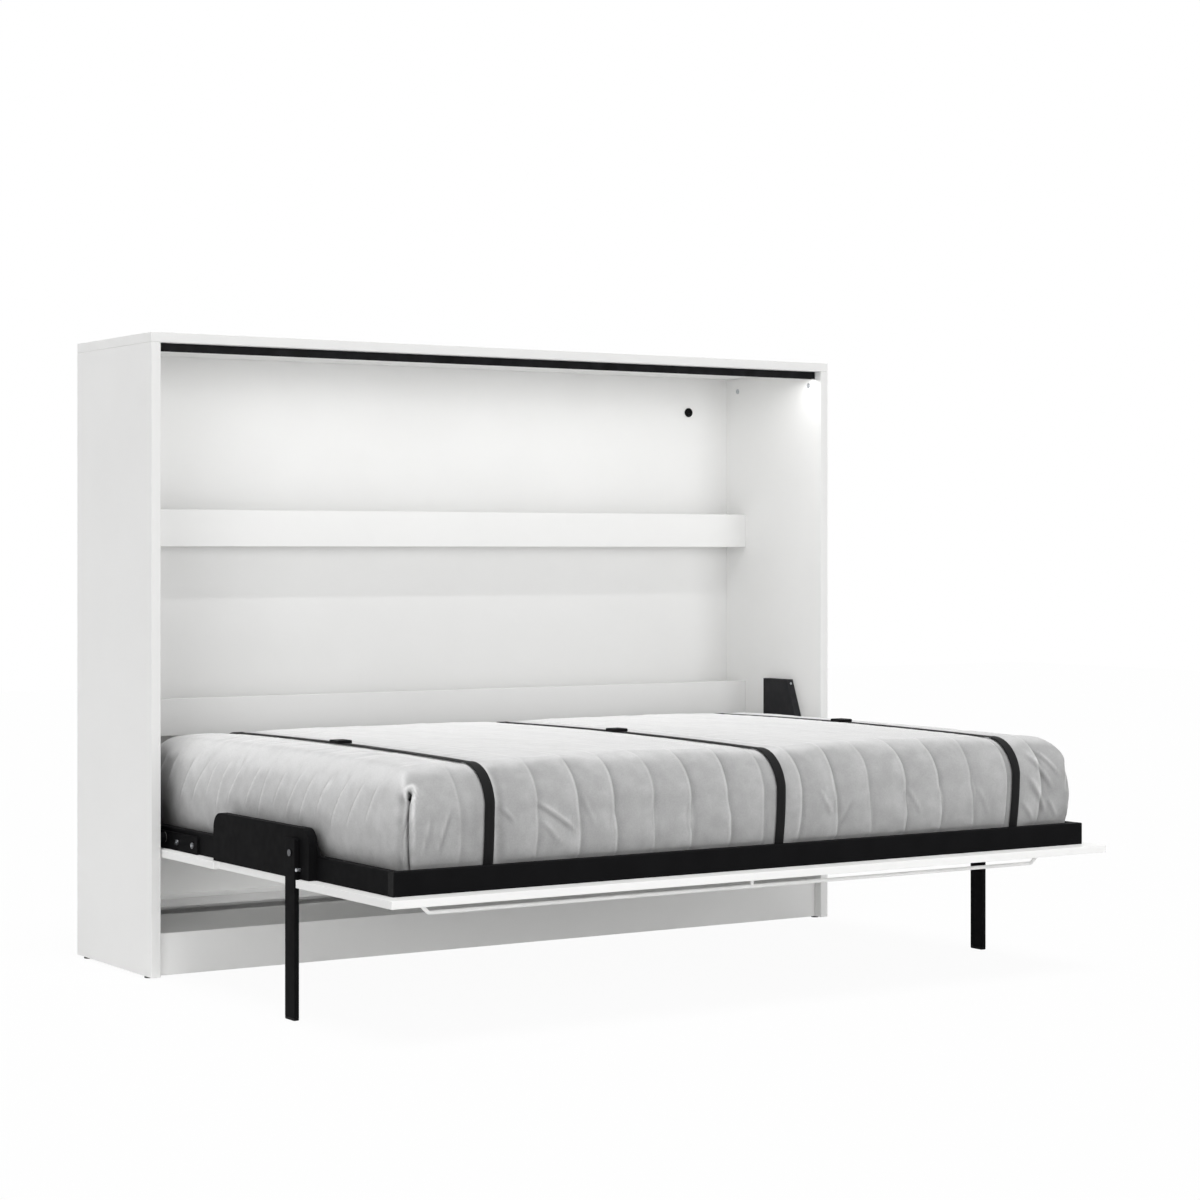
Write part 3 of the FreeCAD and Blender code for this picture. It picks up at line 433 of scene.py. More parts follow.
@dataclass(frozen=True)
class ZincPlate(PatchyFinish):
    """Bright zinc plate on turned steel: a clear cool metal with faint lathe marks and cloudy passivation."""

    shade: str = "#B9BCC2"
    metal: ClassVar[float] = 1.0
    tint_mm: ClassVar[float] = 6.0
    dull_mm: ClassVar[float] = 3.0
    swing: ClassVar[Pair] = (-0.08, 0.12)
    grain_mm: ClassVar[float] = 1.6
    grain_detail: ClassVar[float] = 4.0
    relief: ClassVar[float] = 0.12
    relief_mm: ClassVar[float] = 0.2


@dataclass(frozen=True)
class MouldedPlastic(PatchyFinish):
    """Injection-moulded plastic from a spark-eroded mould: an even fine grain that dulls the gloss."""

    shade: str = "#101011"
    gloss: float = 0.07
    tint_mm: ClassVar[float] = 30.0
    dull_mm: ClassVar[float] = 12.0
    swing: ClassVar[Pair] = (-0.05, 0.07)
    # Spark erosion leaves pits of a few tenths, drawn coarser so that they show
    grain_mm: ClassVar[float] = 1.4
    grain_detail: ClassVar[float] = 3.0
    grain_roughness: ClassVar[float] = 0.7
    relief: ClassVar[float] = 0.25
    relief_mm: ClassVar[float] = 0.3


@dataclass(frozen=True)
class AnodisedExtrusion(Finish):
    """Black anodised aluminium, drawn through a die: dark satin metal with fine lines along its length."""

    shade: str = "#1C1C1E"
    gloss: float = 0.08
    dye_mm: float = 40.0
    line_mm: float = 1.5
    # How the lines are scaled along each axis, which draws them out along X
    drawn_out: Triple = (0.02, 1.0, 1.0)
    swing: float = 0.1
    relief: ClassVar[float] = 0.2
    relief_mm: ClassVar[float] = 0.2

    def dress(self, tree: Tree, place: Socket) -> tuple[Socket, Inputs]:
        """Make the die lines along X and a cloudy dye.

        Args:
            tree: The material's node tree.
            place: Position on the object, in metres.

        Returns:
            Height of the lines, and what goes into the shader.
        """
        along = add(tree, "Mapping", {"Vector": place, "Scale": self.drawn_out}).outputs["Vector"]
        noise = add(tree, "TexNoise", {"Vector": along, "Scale": per_metre(self.line_mm), "Detail": 2.0})
        lines = noise.outputs["Fac"]
        dull = add(tree, "MapRange", {"Value": lines, "To Min": self.roughness - self.swing,
                                      "To Max": self.roughness + self.swing})
        tint = mottle(tree, place, self.dye_mm, linear(self.colour), linear(self.shade))
        return lines, {"Base Color": tint, "Roughness": dull.outputs["Result"],
                       "Specular IOR Level": self.gloss}


@dataclass(frozen=True)
class LaminatedBeech(Finish):
    """Beech laths glued under pressure and bent: pale pinkish wood with short dark flecks along the grain."""

    grain: Grain = Grain.ALONG_Y
    shade: str = "#C79A63"
    fleck: str = "#8F6236"
    band_mm: float = 26.0
    fleck_mm: float = 2.2
    # Noise values at which a fleck begins and is full, and its share of the colour then
    fleck_edges: Pair = (0.60, 0.72)
    fleck_share: float = 0.45
    relief: ClassVar[float] = 0.2
    relief_mm: ClassVar[float] = 0.3

    def dress(self, tree: Tree, place: Socket) -> tuple[Socket, Inputs]:
        """Make bands of grain, ray flecks and open pores.

        Args:
            tree: The material's node tree.
            place: Position on the object, in metres.

        Returns:
            Height of the pores, and what goes into the shader.
        """
        squeeze = tuple(1.0 / stretch for stretch in self.grain.value)
        along = add(tree, "Mapping", {"Vector": place, "Scale": squeeze}).outputs["Vector"]
        bands = mottle(tree, along, self.band_mm, linear(self.colour), linear(self.shade), 6.0)
        noise = add(tree, "TexNoise", {"Vector": along, "Scale": per_metre(self.fleck_mm), "Detail": 2.0})
        marks = noise.outputs["Fac"]
        chosen = add(tree, "MapRange", {"Value": marks, "From Min": self.fleck_edges[0],
                                        "From Max": self.fleck_edges[1], "To Max": self.fleck_share})
        wood = add(tree, "Mix", {0: chosen.outputs["Result"], 6: bands, 7: linear(self.fleck)},
                   data_type="RGBA")
        return marks, {"Base Color": wood.outputs[2]}


@dataclass(frozen=True)
class ShortPileVelour(Finish):
    """Brushed polyester velour, knitted and then raised.

    To the eye it is a soft grey that turns bright at grazing angles. Its crests, top and ends carry a painted
    highlight and its folds and hollows a painted shade, given by the mesh as a point attribute, and its open
    seam, which the mesh carries as "gap", is painted near-black as shade.
    """

    # Colours of the painted shade and the painted highlight at the two ends of the ramp
    painted_shade: str = "#787878"
    painted_highlight: str = "#D8D8D8"
    # Near-black painted shade inside the open seam
    hollow: str = "#121212"
    # Pile tufts are under a millimetre and are drawn coarser so that they show
    pile_mm: float = 3.0
    patch_mm: float = 36.0
    patch_drift: float = 0.055
    # Noise values of the darkest and the lightest speck, and how dark and how light they are
    speck_edges: Pair = (0.3, 0.7)
    specks: Pair = (0.91, 1.06)
    sheen: float = 1.0
    sheen_roughness: float = 0.2
    gloss: float = 0.1
    relief: ClassVar[float] = 0.35
    relief_mm: ClassVar[float] = 0.8

    def dress(self, tree: Tree, place: Socket) -> tuple[Socket, Inputs]:
        """Make the painted highlight and shade, the open seam painted near-black as shade, the pile and the
        sheen.

        Args:
            tree: The material's node tree.
            place: Position on the object, in metres.

        Returns:
            Height of the pile, and what goes into the shader.
        """
        # Painted highlight and shade from the mesh, with soft patches of tone
        painted_shading = add(tree, "Attribute", attribute_name="painted_shading").outputs["Fac"]
        patch = mottle(tree, place, self.patch_mm, -self.patch_drift, self.patch_drift, 7.0)
        painted_light = add(tree, "Math", {0: painted_shading, 1: patch}, operation="ADD").outputs["Value"]
        ramp = add(tree, "ValToRGB", {"Fac": painted_light})
        stops = ramp.color_ramp.elements
        stops[0].color = linear(self.painted_shade)
        stops[1].color = linear(self.painted_highlight)
        stops.new(0.5).color = linear(self.colour)
        pile_and_shading = add(tree, "TexNoise", {"Vector": place, "Scale": per_metre(self.pile_mm), "Detail": 4.0,
                                      "Roughness": 0.65}).outputs["Fac"]
        speck = add(tree, "MapRange", {"Value": pile_and_shading, "From Min": self.speck_edges[0],
                                       "From Max": self.speck_edges[1], "To Min": self.specks[0],
                                       "To Max": self.specks[1]})
        cloth = add(tree, "Mix", {0: 1.0, 6: ramp.outputs["Color"], 7: speck.outputs["Result"]},
                    data_type="RGBA", blend_type="MULTIPLY")
        # The open seam and its opening are painted near-black as shade
        gap = add(tree, "Attribute", attribute_name="gap").outputs["Fac"]
        sewn = add(tree, "Mix", {0: gap, 6: cloth.outputs[2], 7: linear(self.hollow)}, data_type="RGBA")
        return pile_and_shading, {"Base Color": sewn.outputs[2], "Sheen Weight": self.sheen,
                      "Sheen Roughness": self.sheen_roughness, "Specular IOR Level": self.gloss}


@dataclass(frozen=True)
class WovenWebbing(Finish):
    """Polypropylene webbing, woven narrow: dull black with ribs across it and a slant in each row."""

    shade: str = "#202021"
    # Webbing ribs are about a millimetre and a half apart and are drawn coarser so that they show
    rib_mm: float = 3.4
    slant: float = 35.0
    # How uneven the slanted and the straight ribs are
    uneven: Pair = (0.4, 0.2)
    sheen: float = 0.05
    gloss: float = 0.15
    relief: ClassVar[float] = 0.5
    relief_mm: ClassVar[float] = 0.6

    def dress(self, tree: Tree, place: Socket) -> tuple[Socket, Inputs]:
        """Make the woven ribs, which follow the strap's own length and width.

        Args:
            tree: The material's node tree.
            place: Position on the object, which the weave doesn't need.

        Returns:
            Height of the ribs, and what goes into the shader.
        """
        flat = add(tree, "UVMap", uv_map="weave").outputs["UV"]
        turn = add(tree, "Mapping", {"Vector": flat, "Rotation": (0.0, 0.0, math.radians(self.slant))})
        # The wave texture runs through twenty radians in one unit
        scale = per_metre(self.rib_mm) * math.tau / 20
        ribs = add(tree, "TexWave", {"Vector": turn.outputs["Vector"], "Scale": scale,
                                     "Distortion": self.uneven[0]}, bands_direction="Y")
        cross = add(tree, "TexWave", {"Vector": flat, "Scale": scale, "Distortion": self.uneven[1]},
                    bands_direction="X")
        height = add(tree, "Math", {0: ribs.outputs["Fac"], 1: cross.outputs["Fac"]},
                     operation="MULTIPLY").outputs["Value"]
        tint = add(tree, "Mix", {0: height, 6: linear(self.colour), 7: linear(self.shade)}, data_type="RGBA")
        return height, {"Base Color": tint.outputs[2], "Sheen Weight": self.sheen,
                        "Specular IOR Level": self.gloss}


class Finishes:
    """The bed's finishes, made once and shared by its pieces."""

    CHOICES: ClassVar[dict[str, Finish]] = {
        "white_laminate": PressedMelamine("melamine_faced_board", "#F3F3F2", 0.42),
        "black_steel": PowderCoat("black_powder_coat", "#131314", 0.48),
        "white_bar": PowderCoat("white_powder_coat", "#EDEDEC", 0.38, "#E4E4E3", 0.4),
        "bright_steel": ZincPlate("zinc_plate", "#D3D5D8", 0.30),
        "dull_steel": ZincPlate("phosphated_steel", "#6A6B6E", 0.45, "#57585B"),
        "black_plastic": MouldedPlastic("moulded_polypropylene", "#0D0D0E", 0.48),
        "cover_plastic": MouldedPlastic("moulded_abs", "#2E2E30", 0.50, "#29292B"),
        "nylon": MouldedPlastic("moulded_nylon", "#4A4A49", 0.45, "#555553", 0.3),
        "lamp_black": AnodisedExtrusion("black_anodised_aluminium", "#0C0C0D", 0.45),
        "opal": MouldedPlastic("opal_acrylic", "#F0EFEA", 0.30, "#E6E5E0", 0.5),
        "beech": LaminatedBeech("laminated_beech", "#DDB988", 0.50),
        "beech_bearer": LaminatedBeech("sawn_beech", "#D6B080", 0.55, Grain.ALONG_X),
        "mattress_cloth": ShortPileVelour("raised_polyester_velour", "#A6A6A6", 0.85),
        "webbing": WovenWebbing("woven_polypropylene_webbing", "#0B0B0C", 0.80),
    }

    def __init__(self) -> None:
        """Build every finish's material."""
        self.made = {slot: finish.make() for slot, finish in self.CHOICES.items()}

    def __getitem__(self, slot: str) -> bpy.types.Material:
        """Give the material of a slot."""
        return self.made[slot]


@dataclass
class Workshop:
    """What every sub-assembly needs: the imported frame, the finishes and the way that edges are rounded."""

    frame: dict[str, Any]
    finishes: Finishes
    weld: float = 1e-6
    flat_angle: float = 0.5
    hard_angle: float = 34.0

    def slot_of(self, node: str) -> str:
        """Give the record's material slot of a node."""
        rows = self.frame["record"]["subparts"]
        return next(row["material_slot"] for row in rows if row["node"] == node)

    def body_of(self, node: str) -> str:
        """Give the body that a node rides on."""
        return self.frame["nodes"][node]["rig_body"]

    def new_piece(self, name: str, mesh: Mesh, node: str, finish: str | None = None) -> Piece:
        """Put a mesh into the scene in place of a node.

        Args:
            name: Name of the piece.
            mesh: Its mesh, in the row frame.
            node: Node that it stands for.
            finish: Finish if it isn't the one of the node's slot.

        Returns:
            The piece, dressed and riding on the node's body.
        """
        piece = stand(name, mesh)
        slot = self.slot_of(node)
        mesh.materials.clear()
        mesh.materials.append(self.finishes[finish or slot])
        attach(piece, self.body_of(node))
        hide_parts(node)
        log.info("piece %s on %s", name, self.body_of(node))
        return piece

    def ease(self, node: str, width_mm: float, finish: str | None = None,
             trim: Callable[[Work], None] | None = None) -> Piece:
        """Stand a copy with rounded-over outer edges in for a rigid node.

        Args:
            node: Node to copy.
            width_mm: Width of the rounding.
            finish: Finish if it isn't the one of the node's slot.
            trim: Work on the mesh after its edges are rounded.

        Returns:
            The piece that stands for the node.
        """
        work = bmesh.new()
        work.from_mesh(self.frame["nodes"][node].data)
        bmesh.ops.remove_doubles(work, verts=work.verts[:], dist=self.weld)
        bmesh.ops.dissolve_limit(work, angle_limit=math.radians(self.flat_angle), verts=work.verts[:],
                                 edges=work.edges[:])
        limit = math.radians(self.hard_angle)
        hard = [edge for edge in work.edges if edge.calc_face_angle_signed(0.0) > limit]
        bmesh.ops.bevel(work, geom=hard, offset=width_mm * MM, offset_type="OFFSET", segments=2, profile=0.5,
                        affect="EDGES", clamp_overlap=True)
        if trim:
            trim(work)
        mesh = bpy.data.meshes.new(f"{node}_eased")
        work.to_mesh(mesh)
        work.free()
        weigh_normals(mesh)
        return self.new_piece(f"{node}_eased", mesh, node, finish)

    def ease_all(self, widths: dict[str, float], side: str = "") -> None:
        """Ease several nodes.

        Args:
            widths: Width of the rounding in millimetres, by node.
            side: Side that the nodes' names start with, if any.
        """
        for node, width in widths.items():
            self.ease(f"{side}_{node}" if side else node, width)


@dataclass
class Carcass:
    """Cabinet boards, their fittings and the lamp under the top board."""

    shop: Workshop
    board_edge_mm: float = 1.4
    greyer_front_boards: tuple[str, ...] = ("top_panel", "left_side_panel", "right_side_panel")
    plain: tuple[str, ...] = ("back_panel", "floor_board", "plinth_board", "upper_shelf_lip",
                              "upper_shelf_board", "lower_shelf_lip", "lower_shelf_board", "stretcher_board")
    fittings: dict[str, float] = field(default_factory=lambda: {
        "cabinet_glides": 0.8, "wall_fixing_bushes": 0.8, "cam_locks": 0.3, "lamp_channel": 0.3,
        "lamp_diffuser": 0.3})

    def build(self) -> None:
        """Ease the edges of the boards, the fittings and the lamp, and mark the front-facing faces of three
        boards, which are drawn greyer.
        """
        for board in self.greyer_front_boards:
            mesh = self.shop.ease(board, self.board_edge_mm).data
            # Faces that point to the front are marked to be drawn greyer
            front = [float(face.normal.y < -0.5) for face in mesh.polygons]
            mesh.attributes.new("greyer_front", "FLOAT", "FACE").data.foreach_set("value", front)
        self.shop.ease_all(dict.fromkeys(self.plain, self.board_edge_mm) | self.fittings)


@dataclass
class Mechanism:
    """Pivots, gas springs and their covers."""

    shop: Workshop
    widths: dict[str, float] = field(default_factory=lambda: {
        "pivot_plate": 0.4, "pivot_bush": 0.3, "thrust_washer": 0.2, "hinge_arm": 0.6,
        "pivot_pin": 0.5, "spring_rod": 0.2, "spring_tube": 0.8})
    cover_edge_mm: float = 0.7
    bolt_edge_mm: float = 0.6
    # Width of a bolt's socket as a share of its end, and its depth in millimetres
    socket_share: float = 0.5
    socket_depth: float = 4.5

    def build(self) -> None:
        """Ease the edges of both sides' pieces and of the fasteners."""
        for side in SIDES:
            self.shop.ease_all(self.widths, side)
            self.shop.ease(f"{side}_mechanism_cover", self.cover_edge_mm, "cover_plastic")
        self.shop.ease_all({"spring_upper_studs": 0.2, "cover_screws": 0.5})
        self.shop.ease("hinge_arm_bolts", self.bolt_edge_mm, trim=self.sink_sockets)

    def sink_sockets(self, work: Work) -> None:
        """Sink a hexagon socket into the end of every bolt that faces away from the bed's middle.

        Args:
            work: Mesh of the bolts, which lie along X.
        """
        for end in work.faces[:]:
            middle = end.calc_center_median()
            outward = math.copysign(1.0, middle.x)
            # A bolt's end is square to X and has many corners
            if end.normal.x * outward < 0.99 or len(end.verts) < 12:
                continue
            radius = max((vertex.co - middle).length for vertex in end.verts)
            bmesh.ops.inset_individual(work, faces=[end], thickness=radius * (1.0 - self.socket_share),
                                       use_even_offset=True)
            for vertex in end.verts:
                arm = vertex.co - middle
                turn = math.atan2(arm.z, arm.y) % (math.pi / 3) - math.pi / 6
                vertex.co = middle + arm / math.cos(turn)
            floor = bmesh.ops.extrude_discrete_faces(work, faces=[end])["faces"][0]
            bmesh.ops.translate(work, vec=(-outward * self.socket_depth * MM, 0.0, 0.0), verts=floor.verts)


@dataclass
class BedFrame:
    """Face panel, steel rails and slats."""

    shop: Workshop
    widths: dict[str, float] = field(default_factory=lambda: {
        "bed_face_panel": 0.9, "front_rail": 0.5, "rear_rail": 0.5, "left_end_rail": 0.5,
        "right_end_rail": 0.5, "rail_end_caps": 0.5, "bed_slats": 2.0})
    bearer_edge_mm: float = 1.0

    def build(self) -> None:
        """Ease the edges of the panel, the rails and the woodwork."""
        self.shop.ease_all(self.widths)
        self.shop.ease("slat_bearers", self.bearer_edge_mm, "beech_bearer")


@dataclass
class FoldingLegs:
    """Legs, the brackets that carry them and their pins."""

    shop: Workshop
    bracket_edge_mm: float = 0.6
    pin_edge_mm: float = 0.5
    shell_length: float = 504.0
    shell_corner: float = 38.0
    # Bent strip in a bracket's corner: thickness, play, and distance from both faces of the bracket
    strip_thickness: float = 2.4
    strip_play: float = 0.04
    strip_inset: Pair = (1.2, 4.3)
    strip_hoops: int = 16

    def build(self) -> None:
        """Ease the edges of both legs and of what holds them."""
        for side in SIDES:
            self.shop.ease(f"{side}_leg_bracket", self.bracket_edge_mm, trim=partial(self.line_corners, side))
            self.shop.ease_all({"leg": 0.7, "leg_foot": 0.8}, side)
        self.shop.ease("leg_pivot_pins", self.pin_edge_mm, "dull_steel")
        self.shop.ease_all({"leg_stop_pins": 0.6})

    def line_corners(self, side: str, work: Work) -> None:
        """Line both upper corners of a bracket's shell with a bent strip, which closes the sheet there.

        Args:
            side: Which bracket.
            work: Mesh of the bracket.
        """
        low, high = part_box(f"{side}_leg_bracket")
        near, far = (inset * MM for inset in self.strip_inset)
        outer, inner = (low.x + near, high.x - far) if side == "left" else (high.x - near, low.x + far)
        widest = (self.shell_corner - self.strip_play) * MM
        tightest = widest - self.strip_thickness * MM
        corners = ((widest, outer), (widest, inner), (tightest, inner), (tightest, outer))
        rear = high.y - self.shell_corner * MM
        front = high.y - (self.shell_length - self.shell_corner) * MM
        for middle, start in ((rear, 0.0), (front, 90.0)):
            centre = Vector((0.0, middle, high.z - self.shell_corner * MM))
            hoops = []
            for turn in np.radians(np.linspace(start, start + 90.0, self.strip_hoops)):
                way = Vector((0.0, math.cos(turn), math.sin(turn)))
                hoops.append([work.verts.new(centre + way * radius + Vector((x, 0.0, 0.0)))
                              for radius, x in corners])
            loft(work, hoops)


@dataclass
class PullBar:
    """Long bar that the bed is pulled down by."""

    shop: Workshop
    edge_mm: float = 0.3

    def build(self) -> None:
        """Smooth the bar."""
        self.shop.ease("handle_bar", self.edge_mm)


def arc(start: Pair, middle: Pair, end: Pair, steps: int) -> Array:
    """Sample the circle through three points.

    Args:
        start: First point.
        middle: Point passed on the way.
        end: Last point.
        steps: Number of equal steps.

    Returns:
        The points, first and last included.
    """
    a, b, c = (np.array(point, float) for point in (start, middle, end))
    twice = 2.0 * ((a[0] - c[0]) * (b[1] - c[1]) - (b[0] - c[0]) * (a[1] - c[1]))
    p = a @ a - c @ c
    q = b @ b - c @ c
    centre = np.array([p * (b[1] - c[1]) - q * (a[1] - c[1]), q * (a[0] - c[0]) - p * (b[0] - c[0])]) / twice
    angles = [math.atan2(*(point - centre)[::-1]) for point in (a, b, c)]
    turn = (angles[2] - angles[0]) % math.tau
    if (angles[1] - angles[0]) % math.tau > turn:
        turn -= math.tau
    sweep = angles[0] + turn * np.linspace(0.0, 1.0, steps + 1)
    return centre + np.linalg.norm(a - centre) * np.stack([np.cos(sweep), np.sin(sweep)], 1)


@dataclass
class Section:
    """Section across the mattress, the same as the solid's, in millimetres from its middle and its base."""

    half: float = 671.0
    height: float = 250.0
    bulge: float = 12.0
    bulge_level: float = 0.6
    waist: float = 15.0
    drop: float = 90.0
    run: float = 110.0
    crown: float = 6.0
    over_steps: Cell = (20, 16, 96)

    def lines(self, grow: float, steps: Cell) -> tuple[Array, Array, Array]:
        """Give the rear side from its foot, the rounded shoulder, and the crowned top up to its front edge.

        Args:
            grow: How far outside the section.
            steps: Number of equal steps on each of the three.

        Returns:
            Distances from the middle and heights, for each of the three.
        """
        height = self.height + grow
        level = height - self.drop
        half = self.half + grow
        out = half + self.waist
        reach = out - self.run
        edge = height - self.crown
        turn = math.sin(math.pi / 4)
        bend = (out - self.run * (1 - turn), level + (self.drop - self.crown) * turn)
        return (arc((half, 0.0), (half + self.bulge, level * self.bulge_level), (out, level), steps[0]),
                arc((out, level), bend, (reach, edge), steps[1]),
                arc((reach, edge), (0.0, height), (-reach, edge), steps[2]))

    def over(self, grow: float) -> Array:
        """Give the way over the mattress, from its rear foot to its front foot.

        Args:
            grow: How far outside the section.

        Returns:
            Distances from the middle, and heights.
        """
        side, shoulder, top = self.lines(grow, self.over_steps)
        rear = np.concatenate([side[:-1], shoulder[:-1]])
        front = (rear * (-1.0, 1.0))[::-1]
        return np.concatenate([rear, top, front])


def strap_middle(name: str) -> float:
    """Give the middle of a strap along X, in millimetres."""
    low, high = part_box(f"{name}_strap")
    return (low.x + high.x) / 2 / MM


@dataclass(frozen=True)
class Ridge:
    """A sewn ridge of the cover, in millimetres: a slow rise, a thin crest and a quick fall into a hollow."""

    height: float = 7.5
    slopes: Pair = (26.0, 7.0)
    crest_width: float = 3.4
    hollow_at: float = 12.0
    hollow_width: float = 8.0
    flanks_at: Pair = (-14.0, 30.0)
    flank_width: float = 18.0
    # Least share of the height, on the top, and what the sides add
    shares: Pair = (0.18, 0.82)
    # The same at the foot, and the levels between which it grows
    foot_shares: Pair = (0.55, 0.45)
    foot_levels: Pair = (20.0, 70.0)
    sway: float = 3.0
    sway_length: float = 47.0
    # Shares of a normal across the mattress between which a ridge grows from its top form to its side form
    side_edges: Pair = (0.10, 0.80)
    # Share of a normal along it at which a ridge begins to fade out, and over which it does
    end_fade: Pair = (0.15, 0.5)
    # Strengths of slope, crest and hollow in the form, and of the painted highlight on the crest and back and
    # the painted shade in the hollow and on the far flank
    form_shares: Triple = (0.65, 0.3, 0.25)
    shading_shares: tuple[float, float, float, float] = (0.40, 0.10, 0.36, 0.10)

    def form(self, off: Array) -> tuple[Array, Array]:
        """Give the ridge's profile and the painted highlight and shade on it.

        Args:
            off: Distances from the seam.

        Returns:
            Shares of the full height, and painted light from shade to highlight.
        """
        slope = bell(off, np.where(off < 0.0, *self.slopes))
        crest = bell(off, self.crest_width)
        hollow = bell(off - self.hollow_at, self.hollow_width)
        back = np.where(off < 0.0, bell(off - self.flanks_at[0], self.flank_width), 0.0)
        far = bell(off - self.flanks_at[1], self.flank_width)
        broad, sharp, deep = self.form_shares
        bright, pale, dark, dim = self.shading_shares
        profile = broad * slope + sharp * crest - deep * hollow
        # Painted highlight on the crest and its back, painted shade in the hollow and on the far flank
        return profile, bright * crest + pale * back - dark * hollow - dim * far


@dataclass(frozen=True)
class Crease:
    """A short soft fold on one face of the mattress, from one place to another, in millimetres."""

    start: Pair
    end: Pair
    height: float
    width: float
    bow: ClassVar[float] = 0.05
    fade: ClassVar[Pair] = (-0.15, 0.3)
    # Spread of the steep and of the slow side, as shares of the width, and depth of the hollow after the fall
    slopes: ClassVar[Pair] = (0.5, 1.3)
    dip: ClassVar[float] = 0.3
    # Painted highlight on the crest and painted shade in the hollow: place and spread as shares of the width,
    # and strength
    crest: ClassVar[Triple] = (-0.15, 0.38, 0.75)
    hollow: ClassVar[Triple] = (0.62, 0.42, 0.7)
    # Height at which the painted highlight and shade have that strength
    full_height: ClassVar[float] = 4.0

    def form(self, u: Array, v: Array) -> tuple[Array, Array]:
        """Give the fold's height, a slow rise and a quick fall, and the painted highlight and shade on it.

        Args:
            u: Places along the face.
            v: Heights on the face.

        Returns:
            Heights, and painted light from shade on the steep side to highlight on the crest.
        """
        line = np.array(self.end) - np.array(self.start)
        length = float(np.hypot(*line))
        along = ((u - self.start[0]) * line[0] + (v - self.start[1]) * line[1]) / length
        off = ((u - self.start[0]) * line[1] - (v - self.start[1]) * line[0]) / length
        off = off + self.bow * along * (1.0 - along / length)
        ends = smooth_step(*self.fade, along / length) * smooth_step(*self.fade, 1.0 - along / length)
        steep = np.where(off > 0.0, *self.slopes) * self.width
        rise = self.height * ends * (bell(off, steep) - self.dip * bell(off - self.width, self.width))
        # Painted highlight on the crest, painted shade in the hollow
        painted_highlight, painted_shade = (strength * bell(off - at * self.width, spread * self.width)
                           for at, spread, strength in (self.crest, self.hollow))
        return rise, ends * self.height / self.full_height * (painted_highlight - painted_shade)


@dataclass(frozen=True)
class CornerSeam:
    """The seam of the front left corner, with a hem beside it and a small opening at its top, in millimetres.

    Places are the way round the corner, negative on the end and positive on the front, and the height.
    """

    reach: Pair = (70.0, 40.0)
    foot: Pair = (4.0, 18.0)
    head: Pair = (192.0, 178.0)
    groove_width: float = 4.0
    groove_depth: float = 8.0
    gap_width: float = 2.8
    gap_share: float = 0.8
    mouth_at: Pair = (1.0, 181.0)
    mouth_size: Pair = (8.0, 13.0)
    mouth_depth: float = 16.0
    mouth_edges: Pair = (0.35, 0.7)
    rim_at: Pair = (3.0, 190.0)
    rim_size: Pair = (15.0, 17.0)
    rim_width: float = 0.5
    hem_inner: Pair = (2.0, 7.0)
    hem_outer: Pair = (24.0, 17.0)
    hem_height: float = 3.4
    hem_edge: Pair = (19.0, 3.5)
    hem_light: Pair = (10.0, 170.0)
    shade: Pair = (-20.0, 16.0)
    # Strengths of the light along the hem and round the opening, and of the shade beside the seam
    strengths: Triple = (0.8, 0.9, 0.55)

    def fold(self, place: Array, painted_light: Array, seam: Array) -> Array:
        """Draw the seam in, raise its hem and open its top, with painted highlight along the hem and round the
        opening and painted shade beside the seam.

        Args:
            place: Places of the mattress's points, which are moved.
            painted_light: Painted light and shade at those points, which is raised along the hem and round the
                opening and lowered beside the seam.
            seam: Where the seam stands.

        Returns:
            How open the seam is at each point, which the cover's material paints near-black as shade.
        """
        turn = (place[:, 0] - seam[0]) - (place[:, 1] - seam[1])
        height = place[:, 2]
        close = smooth_step(*self.reach, np.hypot(place[:, 0] - seam[0], place[:, 1] - seam[1]))
        level = smooth_step(*self.foot, height) * smooth_step(*self.head, height) * close
        ovals = ((self.mouth_at, self.mouth_size), (self.rim_at, self.rim_size))
        mouth_off, rim_off = (((turn - at[0]) / size[0]) ** 2 + ((height - at[1]) / size[1]) ** 2
                              for at, size in ovals)
        groove = bell(turn, self.groove_width) * level
        mouth = bell(mouth_off, 1.0) * close
        hem = smooth_step(*self.hem_inner, turn) * smooth_step(*self.hem_outer, turn) * level
        hem_edge = bell(turn - self.hem_edge[0], self.hem_edge[1])
        # Painted highlight along the hem and round the opening, painted shade on the end beside the seam
        bright, clear, dark = self.strengths
        painted_light += bright * hem_edge * level * smooth_step(*self.hem_light, height)
        painted_light += clear * bell(rim_off - 1.0, self.rim_width) * close
        painted_light -= dark * bell(turn - self.shade[0], self.shade[1]) * level
        depth = self.groove_depth * groove + self.mouth_depth * mouth - self.hem_height * hem
        inward = 1.0 / math.sqrt(2.0)
        place[:, :2] += (inward * depth)[:, None]
        return self.gap_share * bell(turn, self.gap_width) * level + smooth_step(*self.mouth_edges, mouth)


